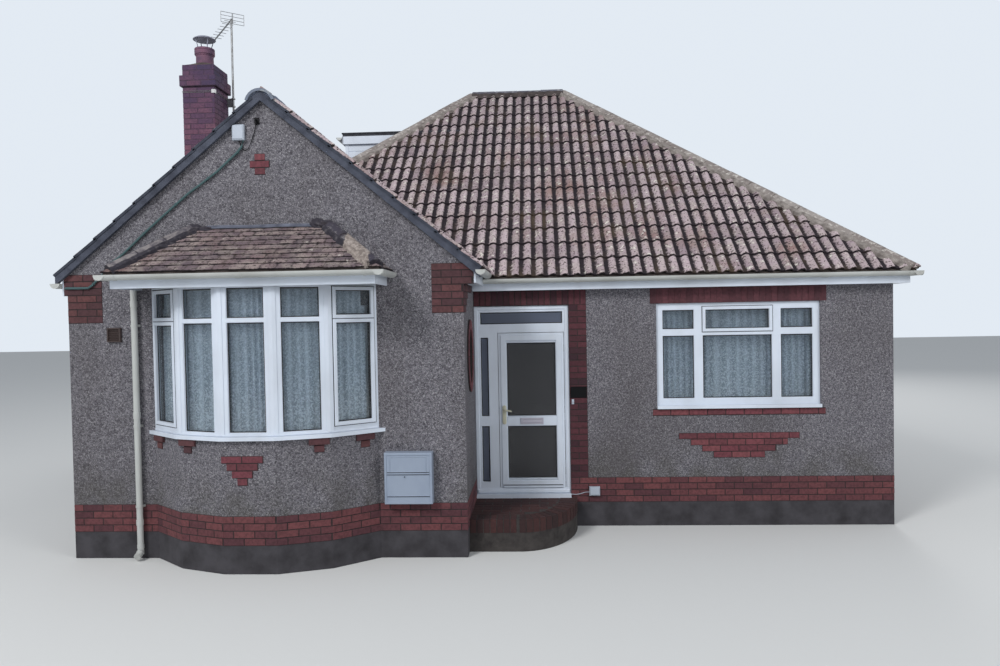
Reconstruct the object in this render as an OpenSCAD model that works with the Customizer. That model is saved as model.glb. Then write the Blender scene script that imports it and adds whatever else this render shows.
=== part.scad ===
// Bungalow with a hipped main roof, a gabled wing at the left and a five-facet bay window.
// Millimetres. X runs right along the front, Y into the house, Z up.
// X = 0 is the outer face of the wing's return wall and Y = 0 the face of the main front wall.

/* [Plan] */
// Width of the gabled wing
wing_w = 4460; // [4000:10:5200]
// How far the wing stands in front of the main front wall
wing_out = 1250; // [1100:10:1600]
// Width of the main front wall, right of the wing
main_w = 5150; // [4600:10:6000]
// Depth of the main body, front face to rear face
body_d = 7700; // [7000:10:9000]
// How far the wing stands out at the left of the main body
jog = 340; // [300:10:400]
// Distance of the wing's rear end behind the main front wall
jog_y = 4500; // [4400:10:4700]
// Thickness of the outer walls
wall_t = 280; // [240:5:320]

/* [Levels] */
// Height of the rendered plinth
plinth_h = 298; // [240:2:330]
// Height of one course of bricks with its joint
course_h = 78; // [74:0.5:84]
// Brick courses in the band on top of the plinth
band_courses = 4; // [4:1:5]
// Level of the floor
floor_z = 430; // [410:5:480]
// Thickness of the floor slab
floor_t = 130; // [110:5:150]
// Level of the underside of the ceiling
ceiling_z = 2950; // [2880:10:3000]
// Thickness of the ceiling
ceiling_t = 100; // [60:5:120]
// How far the floor and the ceiling bear into the walls
bearing = 100; // [60:5:120]

/* [Roof] */
// Pitch of all the tiled slopes in degrees
roof_pitch = 39.8; // [36:0.2:43]
// Level of the tiles' upper face at the eaves
eaves_z = 3130; // [3100:5:3200]
// How far the tiles reach past the walls at the eaves
eaves_out = 190; // [175:5:240]
// How far the tiles reach past the gable wall
verge_out = 50; // [30:5:80]
// Thickness of the tiles and battens, measured upright
tile_t = 60; // [40:5:70]
// Thickness of the whole slope with its rafters, measured upright
slope_t = 170; // [150:5:200]
// How much less the wing's tiles stand out at its left and at its rear
wing_trim = 80; // [40:5:100]
// How much higher the wing's eaves lie over the return wall
wing_lift = 60; // [40:5:70]
// Radius of the round ridge and hip tiles
ridge_r = 125; // [95:5:130]
// How far the centre of the round tiles lies below the edge that they cover
ridge_sink = 65; // [50:5:75]
// Radius of the wing's ridge tiles
wing_ridge_r = 140; // [130:5:150]
// How far the centre of the wing's ridge tiles lies below the edge that they cover
wing_ridge_sink = 105; // [95:5:115]

/* [Eaves] */
// Distance of the fascia's outer face from the wall
fascia_out = 140; // [130:5:160]
// Thickness of the fascia board
fascia_t = 18; // [12:1:24]
// Level of the fascia's lower edge
fascia_z = 2965; // [2940:5:2980]
// Height of the fascia board
fascia_h = 135; // [110:5:140]
// Thickness of the soffit board
soffit_t = 10; // [8:1:15]
// Outer radius of the half-round gutters
gutter_r = 56; // [45:1:60]
// Wall of the gutters
gutter_t = 4; // [3:1:6]
// Level of the gutters' upper edge
gutter_z = 3105; // [3090:1:3105]
// Diameter of the rainwater pipes
pipe_d = 68; // [60:1:76]
// Distance of the pipes from the wall
pipe_gap = 20; // [15:1:30]
// Level of the pipes' lower ends
pipe_foot = 60; // [30:5:100]
// Height of the swan necks
neck_h = 320; // [260:10:400]
// Distance of the side pipes from the rear wall's face
side_pipe_in = 300; // [200:10:500]

/* [Front door] */
// Width of the door frame
door_w = 1190; // [1150:5:1250]
// Level of the underside of the door frame
door_z = 410; // [405:5:415]
// Height of the door frame
door_h = 2366; // [2300:2:2400]
// Distance of the frame's outer face behind the wall's face
frame_in = 30; // [20:5:60]
// Depth of the door and window frames
frame_d = 70; // [60:5:80]
// Width of the frame's bars
frame_bar = 60; // [50:2:70]
// How far the beads of the fixed panes stand in from the frame's bars
bead = 14; // [8:1:20]
// Height of the threshold
threshold_h = 60; // [40:5:65]
// Width of the fixed panes beside the door
side_light_w = 105; // [80:1:200]
// Width of the post between those panes and the leaf
mullion_w = 117; // [90:1:130]
// Height of the rail below the side panes
side_rail_h = 141; // [110:1:160]
// Height of the rail above the side panes
side_top_h = 55; // [40:1:80]
// Height of the fixed pane over the door
top_light_h = 156; // [120:1:300]
// Height of the transom under that pane
transom_h = 106; // [80:1:130]
// Running gap round the door leaf
leaf_gap = 6; // [5.5:0.5:8]
// Width of the leaf's stiles
leaf_bar = 100; // [85:5:115]
// Height of the leaf's rails
leaf_rail = 120; // [100:5:130]
// Level of the middle of the leaf's middle rail
leaf_rail_z = 1325; // [1200:5:1400]
// Height of the handle's plate
handle_plate_h = 235; // [200:5:250]
// Width of the handle's plate
handle_plate_w = 34; // [28:1:40]
// Length of the lever
lever_l = 105; // [90:5:120]
// Diameter of the lever
lever_d = 18; // [15:1:22]
// How far the lever stands out
lever_out = 50; // [40:2:60]
// Width of the letter plate
letter_w = 290; // [250:5:310]
// Height of the letter plate
letter_h = 80; // [60:2:90]
// Thickness of the sealed glass units
glass_t = 24; // [20:1:28]
// Width of the brick pier beside the door
pier_w = 220; // [200:5:240]

/* [Front window] */
// Left edge of the front window
win_x = 2275; // [2000:5:2600]
// Width of the front window
win_w = 2000; // [1800:10:2200]
// Level of the window frame's underside
win_z = 1502; // [1450:2:1550]
// Height of the window frame
win_h = 1268; // [1200:2:1300]
// Width of each side light's glass
win_side = 391; // [350:1:430]
// Width of the bars between the lights, with their sashes
win_bar = 135; // [110:1:145]
// How far the middle lower pane reaches past the opening light above it at each side
win_fixed_more = 32; // [20:1:40]
// Width of the outer bars
win_edge = 80; // [65:1:90]
// Height of the upper panes
win_top = 245; // [220:1:270]
// Height of the transom
win_transom = 75; // [60:1:90]
// Thickness of the sills
sill_t = 40; // [30:1:50]
// How far the sills stand out from the wall
sill_out = 45; // [35:1:60]

/* [Other windows] */
// Distance of each rear window from the house's corner
rear_window_in = 1300; // [1000:10:1600]
// Width of the window in the right side
side_window_w = 1300; // [1000:10:1600]
// Distance of that window behind the main front wall
side_window_y = 3200; // [2500:10:4500]
// Distance of the oval window's middle in front of the main front wall
oval_y = 655; // [600:5:655]
// Level of the oval window's middle
oval_z = 2195; // [2000:5:2300]
// Width of the oval over its brick ring
oval_w = 620; // [560:10:620]
// Height of the oval over its brick ring
oval_h = 850; // [800:10:900]
// Width of the brick ring
oval_ring = 110; // [90:5:120]
// How far the brick ring stands out from the wall
oval_out = 18; // [10:1:25]
// Width of the oval's white frame
oval_bar = 40; // [30:1:50]

/* [Bay window] */
// Width of one facet of the bay
facet_w = 570; // [540:5:590]
// Turn from one facet to the next in degrees
facet_turn = 19.5; // [18:0.5:21]
// Thickness of the bay's low wall
bay_t = 230; // [200:5:250]
// Level of the underside of the bay's sill
bay_sill_z = 1405; // [1380:5:1440]
// Level of the head of the bay's frame
bay_head_z = 3030; // [3010:5:3035]
// Width of the corner posts on each side of an edge
bay_post = 85; // [70:1:95]
// Width of the end posts against the wall
bay_end_post = 70; // [64:1:80]
// Height of the lower rail below the opening lights, with their sashes
bay_rail = 106; // [90:1:120]
// Height of the lower rail below the fixed panes
bay_fixed_rail = 36; // [30:1:60]
// Height of the transom between the fixed panes
bay_fixed_transom = 40; // [34:1:60]
// Height of the bar above the fixed panes
bay_fixed_head = 25; // [22:1:50]
// Level of the transom's underside
bay_transom_z = 2622; // [2550:2:2650]
// Level of the opening's head in the gable wall
bay_opening_z = 2800; // [2720:10:2850]
// How far the bay roof's fascia stands in front of the gable wall
canopy_out = 620; // [600:5:680]
// Half the width of the bay roof between its side fascias
canopy_half = 1390; // [1360:5:1450]
// Level of the bay roof's tiles at their eaves
canopy_z = 3180; // [3150:5:3200]
// How far the bay roof's tiles reach past its fascia
canopy_lip = 45; // [30:5:60]
// Pitch of the bay roof in degrees
canopy_pitch = 37; // [33:0.5:40]
// Radius of the round tiles on the bay roof's hips
bay_hip_r = 100; // [80:5:115]
// How far the centre of those tiles lies below the hips
bay_hip_sink = 45; // [35:5:55]
// How far the bay roof's fascia reaches below the head of the bay's frame
fascia_drop = 20; // [10:1:30]

/* [Chimney] */
// Width of the stack across the front
stack_w = 480; // [440:5:520]
// Depth of the stack
stack_d = 510; // [460:5:560]
// Distance of the stack's front face behind the main front wall
stack_y = 1735; // [1500:5:2000]
// Level of the top of the stack
stack_z = 6500; // [6300:10:6700]
// How far the cap courses stand out
cap_out = 35; // [20:5:50]
// Level of the underside of the cap courses
cap_z = 6175; // [6000:5:6200]
// Height of the cap courses
cap_h = 160; // [120:5:180]
// Outer diameter of the chimney pot
pot_d = 240; // [200:5:280]
// Height of the chimney pot
pot_h = 360; // [300:5:400]
// Height of the pot's rolled rim
rim_h = 100; // [80:5:120]
// How far the rim stands out from the pot
rim_out = 22; // [15:1:30]
// Diameter of the flue
flue_d = 180; // [150:5:190]
// Depth of the flue in the stack
flue_depth = 600; // [300:10:900]
// Diameter of the cowl
cowl_d = 345; // [300:5:380]
// Height of the cowl
cowl_h = 65; // [50:5:80]
// Gap between the pot and the cowl
cowl_gap = 55; // [40:5:80]
// Diameter of the rods that carry the cowl
cowl_rod_d = 14; // [10:1:16]

/* [Aerial] */
// Diameter of the pole
pole_d = 32; // [25:1:40]
// Distance of the pole from the stack
pole_gap = 105; // [60:5:140]
// Distance of the pole from the stack's rear face
pole_in = 45; // [30:5:120]
// Level of the pole's lower end
pole_z = 5700; // [5600:10:5850]
// Length of the pole
pole_l = 1640; // [1400:10:1700]
// Level of the plate that holds the pole
bracket_z = 5975; // [5900:5:6000]
// Height of that plate
bracket_h = 135; // [110:5:150]
// Thickness of that plate
bracket_t = 8; // [6:1:12]
// Length of the boom
boom_l = 1100; // [900:10:1200]
// Thickness of the boom
boom_t = 16; // [12:1:20]
// Turn of the boom in plan in degrees
boom_turn = 127; // [110:1:140]
// Width of the reflector
reflector_w = 350; // [300:10:400]
// Height of the reflector
reflector_h = 160; // [140:5:180]
// Length of the cross rods in front of it
rod_l = 170; // [140:5:200]
// Diameter of the reflector's bars and the cross rods
rod_d = 8; // [6:1:10]
// Number of cross rods
rods = 7; // [4:1:9]

/* [Dormer] */
// Distance of the dormer's outer face from the left wall
dormer_in = 2190; // [2100:10:2250]
// Length of the dormer along the roof
dormer_w = 2000; // [1900:10:2100]
// Thickness of the dormer's walls
dormer_t = 100; // [80:5:120]
// Level of the top of the dormer's flat roof
dormer_z = 5665; // [5600:5:5700]
// Thickness of the dormer's flat roof
dormer_roof_t = 80; // [70:5:110]
// How far that roof reaches past the walls
dormer_out = 50; // [40:5:70]
// Width of the dormer's window
dormer_win_w = 1500; // [1300:10:1600]
// Height of the dormer's window
dormer_win_h = 380; // [340:5:400]
// Distance of the window's head below the flat roof
dormer_head = 60; // [50:5:80]

/* [Meter box] */
// Width of the meter box
meter_w = 526; // [480:2:560]
// Height of the meter box
meter_h = 562; // [520:2:600]
// Depth of the meter box with its lid
meter_d = 120; // [80:5:240]
// Distance of the box from the bay
meter_gap = 72; // [60:1:100]
// Thickness of the box's walls
meter_t = 12; // [8:1:15]
// Thickness of the lid
lid_t = 20; // [15:1:25]
// Gap between the box and its lid
lid_gap = 0.5; // [0.2:0.1:1]
// Level of the box's underside
meter_z = 622; // [620:1:700]

/* [Step] */
// Length of the door step along the wall
step_w = 1260; // [1200:10:1400]
// How far the step stands out
step_out = 1050; // [900:10:1150]
// Width of the step's curved end
step_curve = 700; // [600:10:800]
// Height of the step
step_h = 360; // [340:5:370]

/* [Hidden] */

slack = 1;
rise = tan(roof_pitch);
band_z = plinth_h + band_courses * course_h;
left_x = -wing_w;
main_left_x = left_x + jog;
wing_mid = left_x / 2;
house_w = wing_w + main_w;
ridge_y = body_d / 2;
stack_x = left_x;

// Edges of the roof in plan
eaves_left = left_x - eaves_out;
eaves_main_left = main_left_x - eaves_out;
eaves_right = main_w + eaves_out;
eaves_front = -eaves_out;
eaves_rear = body_d + eaves_out;
eaves_jog = jog_y + eaves_out;
eaves_return = eaves_out;
verge_y = -wing_out - verge_out;

// Ridges, and the plan points where the slopes meet
run = ridge_y + eaves_out;
ridge_z = eaves_z + run * rise;
ridge_x0 = eaves_main_left + run;
ridge_x1 = eaves_right - run;
lift_run = wing_lift / rise;
wing_ridge_x = (eaves_left + eaves_return + lift_run) / 2;
wing_run = wing_ridge_x - eaves_left;
wing_ridge_z = eaves_z + wing_run * rise;
wing_ridge_end = eaves_jog - wing_run;
valley_x = (eaves_main_left + eaves_return + lift_run) / 2;
valley_run = valley_x - eaves_main_left;
valley_low = [eaves_return, eaves_front + lift_run];
valley_top = [valley_x, eaves_front + valley_run];
jog_valley_top = [valley_x, eaves_jog - valley_run];
ridge_left = [ridge_x0, ridge_y];
ridge_right = [ridge_x1, ridge_y];
rafter_in = eaves_out - fascia_out + fascia_t;
wall_bed = slack / 4;
wall_top = eaves_z + eaves_out * rise - slope_t;
high = 2 * ridge_z;

// A box given by its lowest corner and its size
module block(at, size) {
    translate(at) cube(size);
}

// Plan of the bay
facet_dirs = [-2 * facet_turn, -facet_turn, 0, facet_turn, 2 * facet_turn];
bay_half = facet_w * (0.5 + cos(facet_turn) + cos(2 * facet_turn));

function bay_corner(i) = i == 0
    ? [wing_mid - bay_half, -wing_out]
    : bay_corner(i - 1) + facet_w * [cos(facet_dirs[i - 1]), sin(facet_dirs[i - 1])];

// A corner moved outward by d, square to the facets that meet there
function bay_point(i, d) = i == 0 ? bay_corner(0) - [d / sin(2 * facet_turn), 0]
    : i == 5 ? bay_corner(5) + [d / sin(2 * facet_turn), 0]
    : let(mid = (facet_dirs[i - 1] + facet_dirs[i]) / 2)
        bay_corner(i) + d / cos(facet_turn / 2) * [sin(mid), -cos(mid)];

module bay_2d(d, back) {
    polygon(concat([for (i = [0:5]) bay_point(i, d)],
        [[bay_point(5, d)[0], back], [bay_point(0, d)[0], back]]));
}

// Plan of the house, moved inward by inset, and by bay_inset at the bay
module plan_2d(inset, bay_inset) {
    translate([main_left_x + inset, inset]) square([main_w - main_left_x - 2 * inset, body_d - 2 * inset]);
    translate([left_x + inset, -wing_out + inset]) square([wing_w - 2 * inset, wing_out + jog_y - 2 * inset]);
    bay_2d(-bay_inset, -wing_out + inset + slack);
}

module stack_2d() {
    translate([stack_x, stack_y]) square([stack_w, stack_d]);
}

// Plan of the outer walls
module walls_2d() {
    difference() {
        plan_2d(0, 0);
        plan_2d(wall_t, bay_t);
        stack_2d();
    }
}

// Everything under the slopes, lowered by drop
module under_roof(drop) {
    z = eaves_z - drop;
    intersection() {
        translate([eaves_main_left, 0, 0]) rotate([90, 0, 90]) linear_extrude(eaves_right - eaves_main_left)
            polygon([[eaves_front, 0], [eaves_front, z], [ridge_y, z + run * rise],
                [eaves_rear, z], [eaves_rear, 0]]);
        translate([0, eaves_rear, 0]) rotate([90, 0, 0]) linear_extrude(eaves_rear - eaves_front)
            polygon([[eaves_main_left, 0], [eaves_main_left, z], [ridge_x0, z + run * rise],
                [ridge_x1, z + run * rise], [eaves_right, z], [eaves_right, 0]]);
    }
    intersection() {
        translate([0, eaves_jog, 0]) rotate([90, 0, 0]) linear_extrude(eaves_jog - verge_y)
            polygon([[eaves_left, 0], [eaves_left, z], [wing_ridge_x, z + wing_run * rise],
                [eaves_return, z + wing_lift], [eaves_return, 0]]);
        translate([eaves_left, 0, 0]) rotate([90, 0, 90]) linear_extrude(eaves_return - eaves_left)
            polygon([[verge_y, 0], [verge_y, z + wing_run * rise], [wing_ridge_end, z + wing_run * rise],
                [eaves_jog, z], [eaves_jog, 0]]);
    }
}

// Section through a slope, from its eaves up to its ridge at length, with its lower edge cut off by trim
module slope_2d(length, trim) {
    low = eaves_z + trim * rise;
    top = eaves_z + length * rise;
    inner = rafter_in + trim;
    polygon([[trim, low - tile_t], [trim, low], [length, top], [length, top - slope_t],
        [inner, low + rafter_in * rise - slope_t], [inner, low + rafter_in * rise - tile_t]]);
}

// Only the tiles of a slope
module tiles_2d(length, trim) {
    low = eaves_z + trim * rise;
    polygon([[trim, low - tile_t], [trim, low], [length, eaves_z + length * rise],
        [length, eaves_z + length * rise - tile_t]]);
}

module plan_prism(points) {
    linear_extrude(high) polygon(points);
}

module tile_colour() {
    color([0.40, 0.35, 0.32]) children();
}

module render_colour() {
    color([0.62, 0.60, 0.57]) children();
}

module brick_colour() {
    color([0.45, 0.20, 0.17]) children();
}

module plastic_colour() {
    color([0.93, 0.94, 0.95]) children();
}

// Base and walls
module plinth() {
    color([0.45, 0.45, 0.45]) linear_extrude(plinth_h) walls_2d();
}

module door_gap(from_z) {
    block([0, -slack, from_z], [door_w, frame_in + frame_d + slack, high]);
    block([0, -slack, floor_z], [door_w, wall_t + 2 * slack, high]);
}

module brick_band() {
    brick_colour() difference() {
        translate([0, 0, plinth_h]) linear_extrude(band_z - plinth_h) walls_2d();
        translate([0, 0, floor_z - floor_t]) linear_extrude(floor_t) plan_2d(wall_t - bearing, bay_t - bearing);
        door_gap(step_h);
    }
}

module wall_box(at, size) {
    difference() {
        intersection() {
            block(at, size);
            under_roof(slope_t);
        }
        translate([0, 0, ceiling_z]) linear_extrude(ceiling_t) plan_2d(wall_t - bearing, bay_t);
    }
}

module front_wall() {
    render_colour() difference() {
        wall_box([door_w + pier_w, 0, band_z], [main_w - door_w - pier_w, wall_t, high]);
        block([win_x, -slack, win_z - sill_t], [win_w, wall_t + 2 * slack, win_h + sill_t]);
    }
}

module door_pier() {
    brick_colour() wall_box([door_w, 0, band_z], [pier_w, wall_t, door_z + door_h - band_z]);
}

module door_lintel() {
    brick_colour() wall_box([0, 0, door_z + door_h], [door_w + pier_w, wall_t, high]);
}

module gable_wall() {
    render_colour() difference() {
        intersection() {
            block([left_x, -wing_out, band_z], [wing_w, wall_t, high]);
            under_roof(tile_t + wall_bed);
        }
        block([bay_point(0, -frame_d)[0], -wing_out - slack, band_z - slack],
            [bay_point(5, -frame_d)[0] - bay_point(0, -frame_d)[0], wall_t + 2 * slack,
                bay_opening_z - band_z + slack]);
        translate([0, 0, ceiling_z]) linear_extrude(ceiling_t) plan_2d(wall_t - bearing, bay_t);
    }
}

module return_wall() {
    render_colour() difference() {
        wall_box([-wall_t, -wing_out + wall_t, band_z], [wall_t, wing_out, high]);
        oval_prism(-wall_t - slack, slack, 0);
    }
}

module left_wall() {
    render_colour() difference() {
        translate([0, 0, band_z]) linear_extrude(wall_top - band_z) intersection() {
            walls_2d();
            translate([left_x, -wing_out + wall_t]) square([jog + wall_t, wing_out + body_d - 2 * wall_t]);
        }
        translate([0, 0, ceiling_z]) linear_extrude(ceiling_t) plan_2d(wall_t - bearing, bay_t);
    }
}

module rear_wall() {
    render_colour() difference() {
        wall_box([main_left_x, body_d - wall_t, band_z], [main_w - main_left_x, wall_t, high]);
        for (x = rear_windows)
            block([x, body_d - wall_t - slack, win_z - sill_t], [win_w, wall_t + 2 * slack, win_h + sill_t]);
    }
}

module right_wall() {
    render_colour() difference() {
        wall_box([main_w - wall_t, wall_t, band_z], [wall_t, body_d - 2 * wall_t, high]);
        block([main_w - wall_t - slack, side_window_y, win_z - sill_t],
            [wall_t + 2 * slack, side_window_w, win_h + sill_t]);
    }
}

module floor_slab() {
    color([0.55, 0.48, 0.40]) difference() {
        translate([0, 0, floor_z - floor_t]) linear_extrude(floor_t) plan_2d(wall_t - bearing, bay_t - bearing);
        translate([0, 0, -slack]) linear_extrude(high) stack_2d();
        block([0, -slack, -slack], [door_w, frame_in + frame_d + slack, high]);
    }
}

module ceiling() {
    color([0.92, 0.92, 0.90]) difference() {
        translate([0, 0, ceiling_z]) linear_extrude(ceiling_t) plan_2d(wall_t - bearing, bay_t);
        linear_extrude(high) stack_2d();
        block([left_x, -wing_out - body_d, 0], [wing_w, body_d + wall_t - bearing, high]);
    }
}

// Roof slopes, each drawn as a section along its eaves and cut to its plan
module slope_along_x(length) {
    rotate([90, 0, 90]) linear_extrude(length) children();
}

module roof_front() {
    tile_colour() intersection() {
        translate([eaves_return, eaves_front, 0] - [house_w, 0, 0]) slope_along_x(2 * house_w) slope_2d(run, 0);
        plan_prism([[eaves_return, eaves_front], [eaves_right, eaves_front], ridge_right, ridge_left,
            valley_top, valley_low]);
    }
}

module roof_rear() {
    tile_colour() intersection() {
        translate([eaves_right, eaves_rear, 0]) rotate([0, 0, 180])
            slope_along_x(eaves_right - eaves_main_left) slope_2d(run, 0);
        plan_prism([[eaves_right, eaves_rear], [eaves_main_left, eaves_rear], ridge_left, ridge_right]);
    }
}

module roof_right() {
    tile_colour() intersection() {
        translate([eaves_right, eaves_front, 0]) rotate([0, 0, 90])
            slope_along_x(eaves_rear - eaves_front) slope_2d(run, 0);
        plan_prism([[eaves_right, eaves_front], [eaves_right, eaves_rear], ridge_right]);
    }
}

// The wing's slope that faces left
module roof_left() {
    inner = -wing_out + wall_t;
    tile_colour() difference() {
        union() {
            intersection() {
                translate([eaves_left, eaves_jog, 0]) rotate([0, 0, -90])
                    slope_along_x(eaves_jog - inner) slope_2d(wing_run, wing_trim);
                plan_prism([[eaves_left, inner], [wing_ridge_x, inner], [wing_ridge_x, wing_ridge_end],
                    [eaves_left, eaves_jog]]);
            }
            translate([eaves_left, inner, 0]) rotate([0, 0, -90])
                slope_along_x(inner - verge_y) tiles_2d(wing_run, wing_trim);
        }
        linear_extrude(high) stack_2d();
    }
}

// The short slope behind the wing
module roof_jog() {
    tile_colour() intersection() {
        translate([eaves_return, eaves_jog, 0]) rotate([0, 0, 180])
            slope_along_x(eaves_return - eaves_left) slope_2d(wing_run, wing_trim);
        plan_prism([[eaves_left, eaves_jog], [wing_ridge_x, wing_ridge_end], jog_valley_top,
            [eaves_main_left, eaves_jog]]);
    }
}

// The main body's slope that faces left
module roof_main_left() {
    tile_colour() intersection() {
        translate([eaves_main_left, eaves_rear, 0]) rotate([0, 0, -90])
            slope_along_x(eaves_rear - eaves_front) slope_2d(run, 0);
        plan_prism([[eaves_main_left, eaves_rear], [eaves_main_left, eaves_jog], jog_valley_top,
            valley_top, ridge_left]);
    }
}

module roof_wing() {
    inner = -wing_out + wall_t;
    length = eaves_return - wing_ridge_x;
    tile_colour() translate([0, 0, wing_lift]) {
        intersection() {
            translate([eaves_return, inner, 0]) rotate([0, 0, 90])
                slope_along_x(jog_valley_top[1] - inner) slope_2d(length, 0);
            plan_prism([[wing_ridge_x, inner], [eaves_return, inner], valley_low, valley_top, jog_valley_top,
                [wing_ridge_x, wing_ridge_end]]);
        }
        translate([eaves_return, verge_y, 0]) rotate([0, 0, 90])
            slope_along_x(inner - verge_y) tiles_2d(length, 0);
    }
}

// A round tile line from one point to another
module round_tiles(from, to, radius, sink) {
    way = to - from;
    translate(from - [0, 0, sink]) rotate([0, atan2(norm([way[0], way[1]]), way[2]), atan2(way[1], way[0])])
        cylinder(r = radius, h = norm(way), $fn = 12);
}

// The room that the main body's ridge and hip tiles take
module ridge_space() {
    left_top = [ridge_x0, ridge_y, ridge_z];
    right_top = [ridge_x1, ridge_y, ridge_z];
    round_tiles(left_top, right_top, ridge_r, ridge_sink);
    round_tiles([eaves_right, eaves_front, eaves_z], right_top, ridge_r, ridge_sink);
    round_tiles([eaves_right, eaves_rear, eaves_z], right_top, ridge_r, ridge_sink);
    round_tiles([eaves_main_left, eaves_rear, eaves_z], left_top, ridge_r, ridge_sink);
    round_tiles([valley_top[0], valley_top[1], eaves_z + valley_run * rise], left_top, ridge_r, ridge_sink);
}

// The room that the wing's ridge tiles and the hip tiles behind them take
module wing_ridge_space() {
    end = [wing_ridge_x, wing_ridge_end, wing_ridge_z];
    round_tiles([wing_ridge_x, verge_y, wing_ridge_z], end, wing_ridge_r, wing_ridge_sink);
    jog_corner = [eaves_left + wing_trim, eaves_jog - wing_trim, eaves_z + wing_trim * rise];
    round_tiles(jog_corner, end, ridge_r, ridge_sink);
}

module below_eaves() {
    block([2 * eaves_left, 2 * eaves_left, 0], [4 * house_w, 4 * house_w, gutter_z + slack]);
}

module ridge_tiles() {
    tile_colour() difference() {
        ridge_space();
        under_roof(0);
        below_eaves();
        wing_ridge_space();
    }
}

module wing_ridge_tiles() {
    tile_colour() difference() {
        wing_ridge_space();
        under_roof(0);
        below_eaves();
    }
}

// Plan of the eaves at a distance from the walls, open at the gable
module eaves_2d(d) {
    w = max(d - wing_trim, 0);
    translate([main_left_x - d, -d]) square([main_w - main_left_x + 2 * d, body_d + 2 * d]);
    translate([left_x - w, -wing_out]) square([wing_w + w + d, wing_out + jog_y + w]);
}

module fascia_line() {
    difference() {
        eaves_2d(fascia_out);
        eaves_2d(fascia_out - fascia_t);
    }
}

module eaves_boards() {
    linear_extrude(fascia_h) fascia_line();
    linear_extrude(fascia_h + wing_trim * rise) intersection() {
        fascia_line();
        translate([2 * left_x, -wing_w]) square([main_left_x - fascia_out - 2 * left_x, 2 * body_d]);
    }
    linear_extrude(soffit_t) difference() {
        eaves_2d(fascia_out - fascia_t);
        eaves_2d(0);
    }
}

// Board of a given width that closes the eaves at the gable, drawn for the side that faces +X
module eaves_end(w) {
    top = eaves_z - tile_t - slack;
    translate([0, -wing_out + fascia_t, 0]) rotate([90, 0, 0]) linear_extrude(fascia_t)
        polygon([[0, fascia_z], [w, fascia_z], [w, top + (eaves_out - w) * rise], [0, top + eaves_out * rise]]);
}

module fascias() {
    back = fascia_out - fascia_t;
    plastic_colour() {
        translate([0, 0, wing_lift]) eaves_end(back);
        translate([left_x, 0, 0]) mirror([1, 0, 0]) eaves_end(back - wing_trim);
        translate([0, 0, fascia_z]) difference() {
            eaves_boards();
            block([-slack, -wing_out - slack, -slack], [fascia_out + 2 * slack, wing_out - back + slack, high]);
        }
        translate([0, 0, fascia_z + wing_lift]) intersection() {
            eaves_boards();
            block([-slack, -wing_out - slack, -slack], [fascia_out + 2 * slack, wing_out - back + slack, high]);
        }
        block([back, -fascia_out, fascia_z], [fascia_t, fascia_t, fascia_h + wing_lift]);
    }
}

// Half-round gutters along runs, each with its start, its direction and its length; the wall is at its left
module gutter_runs(runs) {
    difference() {
        for (r = runs) translate(r[0]) rotate([0, 0, r[1]]) translate([0, -gutter_r, 0]) rotate([90, 0, 90])
            linear_extrude(r[2]) intersection() {
                circle(r = gutter_r, $fn = 48);
                translate([-gutter_r, -gutter_r]) square([2 * gutter_r, gutter_r]);
            }
        for (r = runs)
            translate(r[0]) rotate([0, 0, r[1]]) translate([gutter_t, -gutter_r, 0]) rotate([0, 90, 0])
            cylinder(r = gutter_r - gutter_t, h = r[2] - 2 * gutter_t, $fn = 48);
    }
}

module gutters() {
    w = 2 * gutter_r;
    front = -fascia_out;
    right = main_w + fascia_out;
    rear = body_d + fascia_out;
    main_left = main_left_x - fascia_out;
    left = left_x - fascia_out + wing_trim;
    jog_line = jog_y + fascia_out - wing_trim;
    gable_end = verge_y - slack - gutter_t;
    return_end = front - gutter_r;
    plastic_colour() {
        gutter_runs([
            [[fascia_out, front, gutter_z], 0, right - fascia_out + w],
            [[right, front - w, gutter_z], 90, rear - front + 2 * w],
            [[right + w, rear, gutter_z], 180, right - main_left + 2 * w],
            [[main_left, rear + w, gutter_z], -90, rear - jog_line + w],
            [[main_left, jog_line, gutter_z], 180, main_left - left + w],
            [[left, jog_line + w, gutter_z], -90, jog_line + w - gable_end]]);
        difference() {
            gutter_runs([[[fascia_out, gable_end, gutter_z + wing_lift], 90, return_end - gable_end]]);
            translate([fascia_out + gutter_r, return_end - 2 * gutter_t, gutter_z + wing_lift])
                rotate([-90, 0, 0]) cylinder(r = gutter_r - gutter_t, h = 3 * gutter_t, $fn = 48);
        }
    }
}

canopy_gutter_z = canopy_z - tile_t / 2 - slack;
bay_pipe_x = wing_mid - canopy_half - gutter_r;

// A round pipe from one point to another, rounded at its start
module pipe(from, to) {
    way = to - from;
    translate(from) {
        sphere(d = pipe_d, $fn = 48);
        rotate([0, atan2(norm([way[0], way[1]]), way[2]), atan2(way[1], way[0])])
            cylinder(d = pipe_d, h = norm(way), $fn = 48);
    }
}

// A pipe with a swan neck on a side wall: x of the wall, and 1 for the right side or -1 for the left
module side_pipe(wall_x, side) {
    y = body_d - side_pipe_in;
    gutter_x = wall_x + side * (fascia_out + gutter_r);
    pipe_x = wall_x + side * (pipe_gap + pipe_d / 2);
    neck_z = fascia_z - neck_h;
    pipe([pipe_x, y, neck_z], [pipe_x, y, pipe_foot]);
    pipe([gutter_x, y, fascia_z], [pipe_x, y, neck_z]);
    translate([gutter_x, y, fascia_z]) cylinder(d = pipe_d, h = gutter_z - gutter_r - fascia_z, $fn = 48);
}

module downpipes() {
    plastic_colour() {
        translate([bay_pipe_x, -wing_out - pipe_d / 2 - pipe_gap, pipe_foot])
            cylinder(d = pipe_d, h = canopy_gutter_z - gutter_r - pipe_foot, $fn = 48);
        side_pipe(main_w, 1);
        side_pipe(main_left_x, -1);
    }
}

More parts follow.
